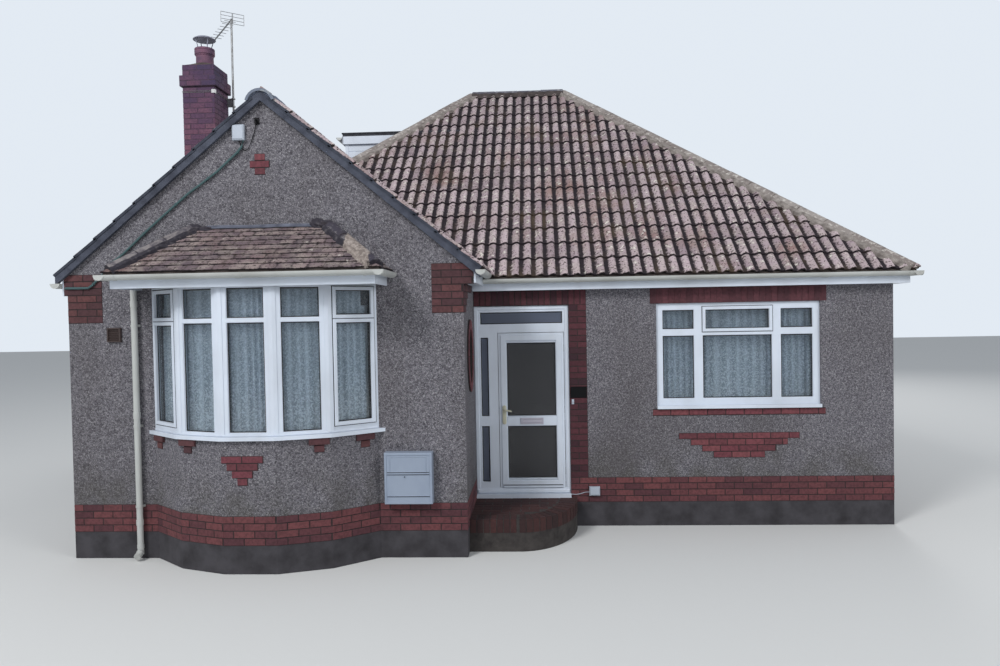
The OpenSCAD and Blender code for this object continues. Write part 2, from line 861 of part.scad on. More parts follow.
// Bay window
module bay_base() {
    render_colour() translate([0, 0, band_z]) linear_extrude(bay_sill_z - band_z) difference() {
        bay_2d(0, -wing_out);
        bay_2d(-bay_t, -wing_out + slack);
    }
}

module bay_sill() {
    plastic_colour() translate([0, 0, bay_sill_z]) linear_extrude(sill_t) difference() {
        bay_2d(sill_out, -wing_out);
        bay_2d(-bay_t, -wing_out + slack);
    }
}

// Boxes of the panes, thick enough to cut through or just the glass
module bay_panes(depth, inset) {
    middle = bay_transom_z + win_transom / 2;
    for (i = [0:4]) {
        opens = i == 0 || i == 4;
        low = bay_sill_z + sill_t + (opens ? bay_rail : bay_fixed_rail);
        bar = opens ? win_transom : bay_fixed_transom;
        top = bay_head_z - (opens ? frame_bar : bay_fixed_head);
        corner = bay_corner(i);
        translate([corner[0], corner[1], 0]) rotate([0, 0, facet_dirs[i]]) {
            first = i == 0 ? bay_end_post : bay_post;
            last = i == 4 ? bay_end_post : bay_post;
            block([first, inset, low], [facet_w - first - last, depth, middle - bar / 2 - low]);
            block([first, inset, middle + bar / 2],
                [facet_w - first - last, depth, top - middle - bar / 2]);
        }
    }
}

module bay_frame() {
    low = bay_sill_z + sill_t;
    plastic_colour() difference() {
        translate([0, 0, low]) linear_extrude(bay_head_z - low) difference() {
            bay_2d(0, -wing_out);
            bay_2d(-frame_d, -wing_out + slack);
        }
        bay_panes(frame_d + 2 * slack + wall_t, -slack);
    }
}

module bay_glass() {
    color([0.55, 0.65, 0.70, 0.6]) bay_panes(glass_t, (frame_d - glass_t) / 2);
}

canopy_rise = tan(canopy_pitch);
canopy_run = canopy_out + canopy_lip;
canopy_top = canopy_z + canopy_run * canopy_rise;

module bay_roof() {
    tile_colour() bay_roof_shape();
}

module bay_roof_shape() {
    x0 = wing_mid - canopy_half;
    x1 = wing_mid + canopy_half;
    inner = canopy_out - fascia_t;
    intersection() {
        translate([x0 - canopy_lip, -wing_out, 0]) rotate([90, 0, 90]) linear_extrude(x1 - x0 + 2 * canopy_lip)
            polygon([[0, bay_head_z], [-inner, bay_head_z], [-inner, canopy_z - tile_t / 2],
                [-canopy_run, canopy_z - tile_t / 2], [-canopy_run, canopy_z], [0, canopy_top]]);
        translate([0, -wing_out, 0]) rotate([90, 0, 0]) linear_extrude(canopy_run)
            polygon([[x0 + fascia_t, bay_head_z], [x0 + fascia_t, canopy_z - tile_t / 2],
                [x0 - canopy_lip, canopy_z - tile_t / 2], [x0 - canopy_lip, canopy_z],
                [x0 - canopy_lip + canopy_run, canopy_top], [x1 + canopy_lip - canopy_run, canopy_top],
                [x1 + canopy_lip, canopy_z], [x1 + canopy_lip, canopy_z - tile_t / 2],
                [x1 - fascia_t, canopy_z - tile_t / 2], [x1 - fascia_t, bay_head_z]]);
    }
}

module bay_hip_tiles() {
    tile_colour() for (side = [-1, 1]) {
        low = [wing_mid + side * (canopy_half + canopy_lip), -wing_out - canopy_run, canopy_z];
        difference() {
            round_tiles(low, low + canopy_run * [-side, 1, canopy_rise], bay_hip_r, bay_hip_sink);
            bay_roof_shape();
            block([left_x, -wing_out, 0], [wing_w, wall_t, high]);
            block([left_x, -2 * wing_w, 0], [wing_w, 2 * wing_w, canopy_z - tile_t / 2]);
        }
    }
}

module bay_fascia() {
    h = canopy_z - tile_t / 2 - bay_head_z + fascia_drop;
    plastic_colour() translate([0, 0, bay_head_z - fascia_drop]) linear_extrude(h) difference() {
        translate([wing_mid - canopy_half, -wing_out - canopy_out]) square([2 * canopy_half, canopy_out]);
        translate([wing_mid - canopy_half + fascia_t, -wing_out - canopy_out + fascia_t])
            square([2 * (canopy_half - fascia_t), canopy_out]);
    }
}

module bay_gutter() {
    w = 2 * gutter_r;
    left = wing_mid - canopy_half;
    right = wing_mid + canopy_half;
    front = -wing_out - canopy_out;
    plastic_colour() gutter_runs([
        [[left, -wing_out, canopy_gutter_z], -90, canopy_out + w],
        [[left - w, front, canopy_gutter_z], 0, right - left + 2 * w],
        [[right, front - w, canopy_gutter_z], 90, canopy_out + w]]);
}

// Flat windows, drawn with their outer face at y = 0 and looking along +Y
rear_windows = [main_left_x + rear_window_in, main_w - rear_window_in - win_w];

module window_panes(w, depth, inset) {
    centre = w - 2 * (win_edge + win_side + win_bar);
    columns = centre > win_side
        ? [[win_edge, win_side], [win_edge + win_side + win_bar, centre], [w - win_edge - win_side, win_side]]
        : [[win_edge, (w - 2 * win_edge - win_bar) / 2], [(w + win_bar) / 2, (w - 2 * win_edge - win_bar) / 2]];
    for (c = columns) {
        more = c[1] > win_side && len(columns) > 2 ? win_fixed_more : 0;
        block([c[0], inset, win_h - win_edge - win_top], [c[1], depth, win_top]);
        block([c[0] - more, inset, win_edge],
            [c[1] + 2 * more, depth, win_h - 2 * win_edge - win_top - win_transom]);
    }
}

module window_frame(w) {
    difference() {
        cube([w, frame_d, win_h]);
        window_panes(w, frame_d + 2 * slack, -slack);
    }
}

module window_sill(w) {
    block([0, -frame_in - sill_out, -sill_t], [w, wall_t + sill_out, sill_t]);
}

// Puts a window into each opening
module at_windows() {
    translate([win_x, frame_in, win_z]) children(0);
    for (x = rear_windows) translate([x + win_w, body_d - frame_in, win_z]) rotate([0, 0, 180]) children(0);
    translate([main_w - frame_in, side_window_y, win_z]) rotate([0, 0, 90]) children(1);
}

module window_frames() {
    plastic_colour() {
        at_windows() {
            window_frame(win_w);
            window_frame(side_window_w);
        }
        difference() {
            dormer_window_space(frame_d, dormer_t - frame_d);
            dormer_panes(frame_d + 2 * slack, dormer_t - frame_d - slack);
        }
        difference() {
            oval_prism(-wall_t / 2, frame_d - wall_t / 2, oval_ring);
            oval_prism(-wall_t / 2 - slack, frame_d - wall_t / 2 + slack, oval_ring + oval_bar);
        }
    }
}

module window_glass() {
    inset = (frame_d - glass_t) / 2;
    color([0.55, 0.65, 0.70, 0.6]) {
        at_windows() {
            window_panes(win_w, glass_t, inset);
            window_panes(side_window_w, glass_t, inset);
        }
        dormer_panes(glass_t, dormer_t - frame_d + inset);
        oval_prism(inset - wall_t / 2, inset + glass_t - wall_t / 2, oval_ring + oval_bar);
    }
}

module window_sills() {
    plastic_colour() at_windows() {
        window_sill(win_w);
        window_sill(side_window_w);
    }
}

// Oval in the return wall between two distances from its face, with its edge moved inward
module oval_prism(x0, x1, inset) {
    translate([x0, -oval_y, oval_z]) rotate([90, 0, 90]) linear_extrude(x1 - x0)
        scale([(oval_w - 2 * inset) / (oval_h - 2 * inset), 1]) circle(d = oval_h - 2 * inset, $fn = 64);
}

// Brick ring of the oval window
module oval_surround() {
    brick_colour() difference() {
        oval_prism(-wall_t, oval_out, 0);
        oval_prism(-wall_t - slack, oval_out + slack, oval_ring);
    }
}

// Front door, hung on its right side
pane_x = frame_bar + bead;
leaf_x0 = pane_x + side_light_w + mullion_w + leaf_gap;
leaf_x1 = door_w - frame_bar - leaf_gap;
leaf_z0 = door_z + threshold_h + leaf_gap;
leaf_z1 = door_z + door_h - pane_x - top_light_h - transom_h - leaf_gap;
knuckle_r = 8;
knuckle_h = 90;
plate_t = 3;
plate_w = 30;
hinge_x = leaf_x1 + leaf_gap / 2;
hinge_y = frame_in + frame_d + knuckle_r;
hinge_in = 200;
hinge_zs = [leaf_z0 + hinge_in, (leaf_z0 + leaf_z1) / 2, leaf_z1 - hinge_in];
hinge_play = 0.3;

module door_frame() {
    plastic_colour() {
        difference() {
            block([0, frame_in, door_z], [door_w, frame_d, door_h]);
            door_side_holes(frame_d + 2 * slack, frame_in - slack);
            block([leaf_x0 - leaf_gap, frame_in - slack, leaf_z0 - leaf_gap],
                [leaf_x1 - leaf_x0 + 2 * leaf_gap, frame_d + 2 * slack, leaf_z1 - leaf_z0 + 2 * leaf_gap]);
        }
        block([0, -sill_out, step_h], [door_w, frame_in + frame_d + sill_out, door_z - step_h]);
        for (z = hinge_zs) for (side = [-1, 1]) {
            block([hinge_x, hinge_y - knuckle_r,
                z + side * knuckle_h - knuckle_h / 2 + hinge_play * max(side, 0)],
                [plate_w, plate_t, knuckle_h - hinge_play]);
            translate([hinge_x, hinge_y, z + side * knuckle_h - knuckle_h / 2 + hinge_play * max(side, 0)])
                cylinder(r = knuckle_r, h = knuckle_h - hinge_play, $fn = 32);
        }
    }
}

// Spaces of the fixed panes beside and over the leaf
module door_side_holes(depth, inset) {
    low = door_z + side_rail_h;
    side_top = leaf_z1 + leaf_gap - side_top_h;
    block([pane_x, inset, low], [side_light_w, depth, leaf_rail_z - leaf_rail / 2 - low]);
    block([pane_x, inset, leaf_rail_z + leaf_rail / 2],
        [side_light_w, depth, side_top - leaf_rail_z - leaf_rail / 2]);
    block([pane_x, inset, door_z + door_h - pane_x - top_light_h], [door_w - 2 * pane_x, depth, top_light_h]);
}

module door_sidelights() {
    color([0.55, 0.65, 0.70, 0.6]) door_side_holes(glass_t, frame_in + (frame_d - glass_t) / 2);
}

module leaf_panes(depth, inset) {
    x0 = leaf_x0 + leaf_bar;
    w = leaf_x1 - leaf_x0 - 2 * leaf_bar;
    block([x0, inset, leaf_z0 + leaf_rail], [w, depth, leaf_rail_z - 3 * leaf_rail / 2 - leaf_z0]);
    block([x0, inset, leaf_rail_z + leaf_rail / 2], [w, depth, leaf_z1 - 3 * leaf_rail / 2 - leaf_rail_z]);
}

module door_leaf() {
    plastic_colour() difference() {
        block([leaf_x0, frame_in, leaf_z0], [leaf_x1 - leaf_x0, frame_d, leaf_z1 - leaf_z0]);
        leaf_panes(frame_d + 2 * slack, frame_in - slack);
    }
}

module door_glass() {
    color([0.55, 0.65, 0.70, 0.6]) leaf_panes(glass_t, frame_in + (frame_d - glass_t) / 2);
}

handle_rise = 15;
handle_z = leaf_rail_z + leaf_rail / 2 + handle_rise;
handle_plate_t = 8;
letter_t = 10;

module door_handle() {
    color([0.85, 0.82, 0.70]) for (side = [0, 1]) {
        face = side == 0 ? frame_in : frame_in + frame_d;
        out = side == 0 ? -1 : 1;
        x = leaf_x0 + leaf_bar / 2;
        translate([x, face, handle_z]) {
            block([-handle_plate_w / 2, side == 0 ? -handle_plate_t : 0, -handle_plate_h / 2],
                [handle_plate_w, handle_plate_t, handle_plate_h]);
            rotate([-90 * out, 0, 0]) cylinder(d = lever_d, h = lever_out, $fn = 32);
            translate([0, out * lever_out, 0]) rotate([0, 90, 0]) cylinder(d = lever_d, h = lever_l, $fn = 32);
            translate([0, out * lever_out, 0]) sphere(d = lever_d, $fn = 32);
        }
    }
    color([0.85, 0.82, 0.70]) block([(leaf_x0 + leaf_x1 - letter_w) / 2, frame_in - letter_t,
        leaf_rail_z - letter_h / 2], [letter_w, letter_t, letter_h]);
}

module hinge_leaves() {
    color([0.8, 0.8, 0.8]) for (z = hinge_zs) {
        translate([hinge_x, hinge_y, z - knuckle_h / 2 + hinge_play])
            cylinder(r = knuckle_r, h = knuckle_h - hinge_play, $fn = 32);
        block([hinge_x - plate_w, hinge_y - knuckle_r, z - knuckle_h / 2 + hinge_play],
            [plate_w, plate_t, knuckle_h - hinge_play]);
    }
}

// Chimney
module chimney() {
    brick_colour() difference() {
        union() {
            block([stack_x, stack_y, 0], [stack_w, stack_d, stack_z]);
            block([stack_x - cap_out, stack_y - cap_out, cap_z],
                [stack_w + 2 * cap_out, stack_d + 2 * cap_out, cap_h]);
        }
        translate([stack_x + stack_w / 2, stack_y + stack_d / 2, stack_z - flue_depth])
            cylinder(d = flue_d, h = flue_depth + slack, $fn = 48);
    }
}

module chimney_pot() {
    brick_colour() translate([stack_x + stack_w / 2, stack_y + stack_d / 2, stack_z]) {
        difference() {
            union() {
                cylinder(d = pot_d, h = pot_h, $fn = 48);
                translate([0, 0, pot_h - rim_h]) cylinder(d = pot_d + 2 * rim_out, h = rim_h, $fn = 48);
            }
            translate([0, 0, -slack]) cylinder(d = flue_d, h = pot_h + 2 * slack, $fn = 48);
        }
        for (a = [45:90:315]) rotate([0, 0, a]) translate([(flue_d + pot_d) / 4, 0, pot_h])
            cylinder(d = cowl_rod_d, h = cowl_gap, $fn = 24);
        translate([0, 0, pot_h + cowl_gap]) cylinder(d1 = cowl_d, d2 = cowl_d / 2, h = cowl_h, $fn = 48);
    }
}

pole_x = stack_x + stack_w + pole_gap;
pole_y = stack_y + stack_d - pole_in;
clamp_d = 2 * pole_d;

module aerial() {
    color([0.6, 0.6, 0.6]) {
        block([stack_x + stack_w, pole_y - bracket_t / 2, bracket_z], [pole_gap, bracket_t, bracket_h]);
        translate([pole_x, pole_y, 0]) {
            translate([0, 0, pole_z]) cylinder(d = pole_d, h = pole_l, $fn = 32);
            for (z = [bracket_z, bracket_z + bracket_h - boom_t])
                translate([0, 0, z]) cylinder(d = clamp_d, h = boom_t, $fn = 32);
            translate([0, 0, pole_z + pole_l - boom_t]) rotate([0, 0, boom_turn]) aerial_head();
        }
    }
}

// Boom with its reflector and cross rods, pointing along +X from the pole
module aerial_head() {
    back = -clamp_d;
    block([back, -boom_t / 2, -boom_t / 2], [boom_l, boom_t, boom_t]);
    block([back - rod_d / 2, -boom_t / 2, -reflector_h / 2], [rod_d, boom_t, reflector_h]);
    for (i = [0:3]) translate([back, -reflector_w / 2, reflector_h * (i / 3 - 0.5)])
        rotate([-90, 0, 0]) cylinder(d = rod_d, h = reflector_w, $fn = 24);
    for (y = [-reflector_w / 2, reflector_w / 2]) translate([back, y, -reflector_h / 2])
        cylinder(d = rod_d, h = reflector_h, $fn = 24);
    step = (boom_l + 2 * back) / rods;
    for (i = [1:rods]) translate([back + i * step, -rod_l / 2, 0])
        rotate([-90, 0, 0]) cylinder(d = rod_d, h = rod_l, $fn = 24);
}

// Dormer on the left slope
dormer_x = left_x + dormer_in;
dormer_y = ridge_y - dormer_w / 2;

module dormer_walls() {
    plastic_colour() difference() {
        block([dormer_x, dormer_y, wing_ridge_z / 2], [ridge_x0 - dormer_x, dormer_w,
            dormer_z - dormer_roof_t - wing_ridge_z / 2]);
        block([dormer_x + dormer_t, dormer_y + dormer_t, 0], [house_w, dormer_w - 2 * dormer_t, high]);
        dormer_window_space(dormer_t + 2 * slack, -slack);
        under_roof(0);
        ridge_space();
        wing_ridge_space();
    }
}

dormer_win_y = dormer_y + (dormer_w - dormer_win_w) / 2;
dormer_win_z = dormer_z - dormer_roof_t - dormer_head - dormer_win_h;

module dormer_window_space(depth, inset) {
    block([dormer_x + inset, dormer_win_y, dormer_win_z], [depth, dormer_win_w, dormer_win_h]);
}

// Two equal lights of the dormer's window
module dormer_panes(depth, inset) {
    w = (dormer_win_w - 3 * frame_bar) / 2;
    for (i = [0, 1])
        block([dormer_x + inset, dormer_win_y + frame_bar + i * (w + frame_bar), dormer_win_z + frame_bar],
            [depth, w, dormer_win_h - 2 * frame_bar]);
}

module dormer_roof() {
    color([0.2, 0.2, 0.22]) difference() {
        block([dormer_x - dormer_out, dormer_y - dormer_out, dormer_z - dormer_roof_t],
            [ridge_x0 - dormer_x, dormer_w + 2 * dormer_out, dormer_roof_t]);
        under_roof(0);
        ridge_space();
        wing_ridge_space();
    }
}

// Meter box, its lid hung on the left side
meter_x = wing_mid + bay_half + meter_gap;

module meter_box() {
    depth = meter_d - lid_t - lid_gap;
    plastic_colour() difference() {
        block([meter_x, -wing_out - depth, meter_z], [meter_w, depth, meter_h]);
        block([meter_x + meter_t, -wing_out - depth - slack, meter_z + meter_t],
            [meter_w - 2 * meter_t, depth - meter_t + slack, meter_h - 2 * meter_t]);
    }
}

module meter_lid() {
    plastic_colour() block([meter_x, -wing_out - meter_d, meter_z], [meter_w, lid_t, meter_h]);
}

module door_step() {
    straight = step_w - step_curve;
    brick_colour() linear_extrude(step_h) intersection() {
        translate([0, -step_out]) square([step_w, step_out]);
        union() {
            translate([0, -step_out]) square([straight, step_out]);
            translate([straight, 0]) scale([step_curve / step_out, 1]) circle(r = step_out, $fn = 64);
        }
    }
}

plinth();
brick_band();
front_wall();
door_pier();
door_lintel();
gable_wall();
return_wall();
left_wall();
rear_wall();
right_wall();
floor_slab();
ceiling();
chimney();
chimney_pot();
aerial();
roof_front();
roof_left();
roof_main_left();
roof_jog();
roof_right();
roof_rear();
roof_wing();
ridge_tiles();
wing_ridge_tiles();
fascias();
gutters();
downpipes();
bay_base();
bay_sill();
bay_frame();
bay_glass();
bay_roof();
bay_hip_tiles();
bay_fascia();
bay_gutter();
window_frames();
window_glass();
window_sills();
oval_surround();
door_frame();
door_sidelights();
door_leaf();
door_glass();
door_handle();
hinge_leaves();
dormer_walls();
dormer_roof();
meter_box();
meter_lid();
door_step();
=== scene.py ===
import bpy
import bmesh
import random
from math import pi, sin, cos, tan, radians, sqrt, ceil
from mathutils import Vector as V, Matrix


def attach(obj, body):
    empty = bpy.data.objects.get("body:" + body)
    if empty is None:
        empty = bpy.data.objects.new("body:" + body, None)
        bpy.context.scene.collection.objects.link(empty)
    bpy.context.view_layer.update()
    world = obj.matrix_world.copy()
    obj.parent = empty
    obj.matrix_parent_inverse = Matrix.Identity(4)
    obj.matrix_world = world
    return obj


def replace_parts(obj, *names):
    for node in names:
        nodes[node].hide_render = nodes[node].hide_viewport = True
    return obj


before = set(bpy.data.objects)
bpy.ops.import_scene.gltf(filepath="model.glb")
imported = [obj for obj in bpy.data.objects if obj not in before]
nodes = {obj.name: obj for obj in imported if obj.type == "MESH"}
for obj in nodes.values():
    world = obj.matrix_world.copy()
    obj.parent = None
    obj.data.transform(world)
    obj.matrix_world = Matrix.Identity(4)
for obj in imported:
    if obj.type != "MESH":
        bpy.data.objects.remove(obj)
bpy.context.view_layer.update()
rng = random.Random(7)
scene = bpy.context.scene
X, Y, Z = V((1, 0, 0)), V((0, 1, 0)), V((0, 0, 1))

# Main sizes, as in the part's source: plan, brickwork, roof
LEFT, RIGHT, REAR, OUT = -4.46, 5.15, 7.70, 1.25
JOG_X, JOG_Y = LEFT + 0.34, 4.5
PLINTH, COURSE, BAND = 0.298, 0.078, 0.610
EAVES, OVER, VERGE, LIFT, TRIM = 3.13, 0.19, -1.30, 0.06, 0.08
RISE = tan(radians(39.8))
SLOPE = sqrt(1 + RISE * RISE)
RUN = REAR / 2 + OVER
# Eaves lines: left, main left, right, front, rear and jog
EL, EM, ER = LEFT - OVER, JOG_X - OVER, RIGHT + OVER
EF, EB, EJ = -OVER, REAR + OVER, JOG_Y + OVER
# The wing's ridge with its rear end, and the valleys' ends
WX = (EL + OVER + LIFT / RISE) / 2
WRUN = WX - EL
WEND, WZ = EJ - WRUN, EAVES + WRUN * RISE
VX = (EM + OVER + LIFT / RISE) / 2
VRUN = VX - EM
VTOP, JTOP, VLOW = (VX, EF + VRUN), (VX, EJ - VRUN), (OVER, EF + LIFT / RISE)
# Ends of the main ridge
RL, RR = (EM + RUN, REAR / 2), (ER - RUN, REAR / 2)
# The bay: corners of its facets, their directions and the ways they face
MID = LEFT / 2
FACET, TURN = 0.57, radians(19.5)
HALF = FACET * (0.5 + cos(TURN) + cos(2 * TURN))
BAY = [V((MID - HALF, -OUT, 0))]
for k in range(-2, 3):
    BAY.append(BAY[-1] + FACET * V((cos(k * TURN), sin(k * TURN), 0)))
ALONG = [(b - a).normalized() for a, b in zip(BAY, BAY[1:])]
FACING = [V((d.y, -d.x, 0)) for d in ALONG]
# Roof of the bay
CAN_HALF, CAN_Z, LIP = 1.39, 3.18, 0.045
CRISE, CRUN = tan(radians(37)), 0.62 + LIP
CAN_TOP = CAN_Z + CRUN * CRISE
# Chimney stack: corner, sides and centre
SX, SY, SW, SD = LEFT, 1.735, 0.48, 0.51
CX, CY = SX + SW / 2, SY + SD / 2
# Dormer: corner, width and top of its walls
DX, DY, DW, DZ = LEFT + 2.19, REAR / 2 - 1.0, 2.0, 5.585
# Gutters: height of their centre line, and how far out of the wall it lies
GZ, GUTTER = 3.105, 0.196
# How deep under a wall's outer face its inner side is painted, and the nets hang
INNER, NET_IN = 0.27, 0.175

MATS = {}


def rgb(colour):
    """A colour written as (r, g, b) from 0 to 255, made linear."""
    return tuple((c / 255) ** 2.2 for c in colour)


class Mat:
    """A node material; a colour is an (r, g, b) tuple or a node's output."""

    def __init__(self, name, colour, rough=0.8, **sockets):
        MATS[name] = mat = bpy.data.materials.new(name)
        mat.use_nodes = True
        self.tree = mat.node_tree
        self.bsdf = self.tree.nodes["Principled BSDF"]
        self.set(self.bsdf, Base_Color=colour, Roughness=rough, **sockets)
        self.at = self.add("ShaderNodeTexCoord").outputs["Object"]
        self.last = None

    def put(self, socket, value):
        if isinstance(value, bpy.types.NodeSocket):
            self.tree.links.new(value, socket)
        elif socket.type == "RGBA":
            socket.default_value = (*rgb(value), 1)
        else:
            socket.default_value = value

    def set(self, n, **values):
        for key, value in values.items():
            if hasattr(n, key):
                setattr(n, key, value)
            else:
                self.put(n.inputs[key.replace("_", " ")], value)

    def add(self, kind, **values):
        n = self.tree.nodes.new(kind)
        self.set(n, **values)
        return n

    def noise(self, scale, detail=4.0, at=None):
        return self.add("ShaderNodeTexNoise", Scale=scale, Detail=detail, Roughness=0.55,
                        Vector=at or self.at).outputs["Fac"]

    def cells(self, scale, out="Color"):
        return self.add("ShaderNodeTexVoronoi", Scale=scale, Vector=self.at).outputs[out]

    def squeeze(self, z):
        """Coordinates scaled upright, for stains that run down."""
        return self.add("ShaderNodeMapping", Vector=self.at, Scale=(1, 1, z)).outputs["Vector"]

    def ramp(self, fac, *stops):
        n = self.add("ShaderNodeValToRGB", Fac=fac)
        e = n.color_ramp.elements
        while len(e) < len(stops):
            e.new(0.5)
        for item, (at, value) in zip(e, stops):
            item.position = at
            item.color = (*(rgb(value) if isinstance(value, tuple) else (value,) * 3), 1)
        return n.outputs["Color"]

    def mix(self, fac, a, b):
        n = self.add("ShaderNodeMix", data_type="RGBA")
        for k, value in ((0, fac), (6, a), (7, b)):
            self.put(n.inputs[k], value)
        return n.outputs[2]

    def stain(self, base, tint, scale, detail, *stops, at=None):
        """The base with another colour where a noise passes the stops."""
        return self.mix(self.ramp(self.noise(scale, detail, at), *stops), base, tint)

    def math(self, op, a, b, clamp=False):
        n = self.add("ShaderNodeMath", operation=op, use_clamp=clamp)
        self.put(n.inputs[0], a)
        self.put(n.inputs[1], b)
        return n.outputs[0]

    def times(self, a, b, clamp=False):
        return self.math("MULTIPLY", a, b, clamp)

    def between(self, value, low, high):
        return self.times(self.math("GREATER_THAN", value, low), self.math("LESS_THAN", value, high))

    def island(self):
        """A random number for each separate brick or tile."""
        return self.add("ShaderNodeNewGeometry").outputs["Random Per Island"]

    def crest(self):
        return self.add("ShaderNodeAttribute", attribute_name="crest").outputs["Fac"]

    def split(self):
        return self.add("ShaderNodeSeparateXYZ", Vector=self.at).outputs

    def colour(self, out):
        self.put(self.bsdf.inputs["Base Color"], out)

    def rough(self, fac, low, high):
        self.put(self.bsdf.inputs["Roughness"], self.ramp(fac, (0.25, low), (0.75, high)))

    def bump(self, height, distance, strength=1.0):
        n = self.add("ShaderNodeBump", Distance=distance, Strength=strength, Height=height)
        if self.last:
            self.put(n.inputs["Normal"], self.last)
        self.last = n.outputs["Normal"]
        self.put(self.bsdf.inputs["Normal"], self.last)


def rooms(m):
    """1 inside the rooms, 0 on the outer faces."""
    x, y = m.split()[:2]
    main = m.times(m.between(x, JOG_X + INNER, RIGHT - INNER), m.between(y, INNER, REAR - INNER))
    wing = m.times(m.between(x, LEFT + INNER, -INNER), m.between(y, -OUT + INNER, JOG_Y - INNER))
    return m.math("MAXIMUM", main, wing)


def pebbledash(name, hollow):
    """Small stones with damp stains, mossy near the ground; plaster on a hollow's inner faces."""
    stone = (108, 105, 110)
    m = Mat(name, stone, 0.95)
    stones = m.ramp(m.add("ShaderNodeSeparateColor", Color=m.cells(115)).outputs[0],
                    (0.0, (42, 40, 46)), (0.38, (78, 76, 82)), (0.62, stone),
                    (0.84, (130, 128, 133)), (0.97, (172, 170, 172)))
    clumps = m.ramp(m.noise(46, 6), (0.34, (58, 56, 62)), (0.66, (142, 139, 146)))
    base = m.stain(m.mix(0.45, stones, clumps), (72, 67, 66), 0.9, 5, (0.45, 0.0), (0.75, 0.5),
                   at=m.squeeze(0.4))
    low = m.ramp(m.times(m.split()[2], 0.5), (0.30, 1.0), (0.58, 0.0))
    moss = m.times(low, m.ramp(m.noise(3), (0.38, 0.0), (0.7, 0.6)))
    base = m.mix(moss, base, (62, 60, 46))
    m.colour(m.mix(rooms(m), base, (190, 184, 172)) if hollow else base)
    m.bump(m.cells(115, "Distance"), 0.006, 0.8)
    m.bump(m.noise(46), 0.006, 0.6)


def speckled(name, tint, other, size, depth, rough=0.9):
    m = Mat(name, tint, rough)
    m.colour(m.stain(tint, other, size, 6, (0.35, 0.0), (0.7, 1.0)))
    m.bump(m.noise(size * 3, 5), depth, 0.6)


def brick(name, a, b, c, sooty=False):
    """Bricks of three tints, darker towards the top of the stack where sooty."""
    m = Mat(name, a, 0.88)
    base = m.ramp(m.island(), (0.0, a), (0.4, b), (0.75, c), (1.0, a))
    base = m.stain(base, (44, 28, 30), 30, 6, (0.4, 0.0), (0.75, 0.55))
    if sooty:
        high = m.times(m.math("SUBTRACT", m.split()[2], 4.9), 0.55, True)
        patchy = m.ramp(m.noise(2.5, 5), (0.25, 0.45), (0.7, 1.0))
        dirt = m.times(m.math("ADD", high, 0.25), patchy, True)
        base = m.mix(m.times(dirt, 0.9), base, (58, 52, 80))
    m.colour(base)
    m.bump(m.noise(140), 0.003, 0.6)


def tile(name, crest, pan_and_shade, worn, rust, lichen):
    """Tiles with light rolls, lichen and brown patches, and dark pans with moss; the dark of their noses, of
    a strip below each nose and of each roll's right flank is painted shade.
    """
    m = Mat(name, crest, 0.92)
    top = m.crest()
    shade = m.mix(m.ramp(m.island(), (0.0, 0.0), (1.0, 1.0)), crest, worn)
    for tint, size, detail, low, high in (
            (rust, 1.4, 5, (0.5, 0.0), (0.72, 0.7)),
            ((176, 166, 154), 7, 5, (0.42, 0.0), (0.7, 0.45)),
            ((222, 216, 206), 14, 6, (lichen, 0.0), (lichen + 0.05, 0.85)),
            ((58, 46, 44), 38, 4, (0.39, 0.9), (0.43, 0.0))):
        shade = m.stain(shade, tint, size, detail, low, high)
    ragged = m.math("ADD", top, m.times(m.math("SUBTRACT", m.noise(30), 0.5), 1.8))
    pan_and_shade = m.stain(pan_and_shade, (82, 68, 50), 1.8, 5, (0.5, 0.0), (0.72, 0.6))
    # The dark colour where the crest value is low: moss in the pans, and painted shade on the noses, below
    # them and on the rolls' right flanks
    m.colour(m.mix(m.ramp(ragged, (0.26, 0.0), (0.74, 1.0)), pan_and_shade, shade))
    m.bump(m.noise(110, 5), 0.005, 0.8)


def cap(name, tint, other, spots, lit_patch=None, pale=None):
    """Round tiles; on the bay's hips the base tints are dark as painted shade, and two lighter tints paint
    the lit parts: the lower end of the right hip and the whole left hip.
    """
    m = Mat(name, tint, 0.92)
    base = m.mix(m.ramp(m.island(), (0.0, 0.0), (1.0, 1.0)), tint, other)
    base = m.stain(base, spots, 20, 6, (0.52, 0.0), (0.66, 0.8))
    base = m.stain(base, (60, 52, 50), 7, 5, (0.55, 0.0), (0.75, 0.6))
    # Painted light: the lit lower end of the bay's right hip, and the lit left hip, lighter than the painted
    # shade of the rest
    if lit_patch:
        x = m.math("ADD", m.split()[0], m.times(m.noise(9), 0.12))
        light = m.stain((116, 106, 100), lit_patch, 26, 5, (0.4, 0.0), (0.6, 1.0))
        base = m.mix(m.between(x, -1.15, -0.84), base, light)
    if pale:
        left = m.math("LESS_THAN", m.split()[0], MID)
        base = m.mix(left, base, m.stain(pale, tint, 14, 6, (0.42, 0.0), (0.68, 1.0)))
    m.colour(base)
    m.bump(m.noise(60, 6), 0.008, 0.7)


def plastic(name, tint, dirt):
    m = Mat(name, tint, 0.35)
    m.colour(m.stain(tint, dirt, 2.2, 6, (0.42, 0.0), (0.8, 0.5), at=m.squeeze(0.5)))
    m.rough(m.noise(6), 0.28, 0.5)
    m.bump(m.noise(60, 3), 0.0006, 0.5)


def plain(name, tint, rough, scale, depth, detail=4.0, strength=1.0, **sockets):
    m = Mat(name, tint, rough, **sockets)
    m.bump(m.noise(scale, detail), depth, strength)


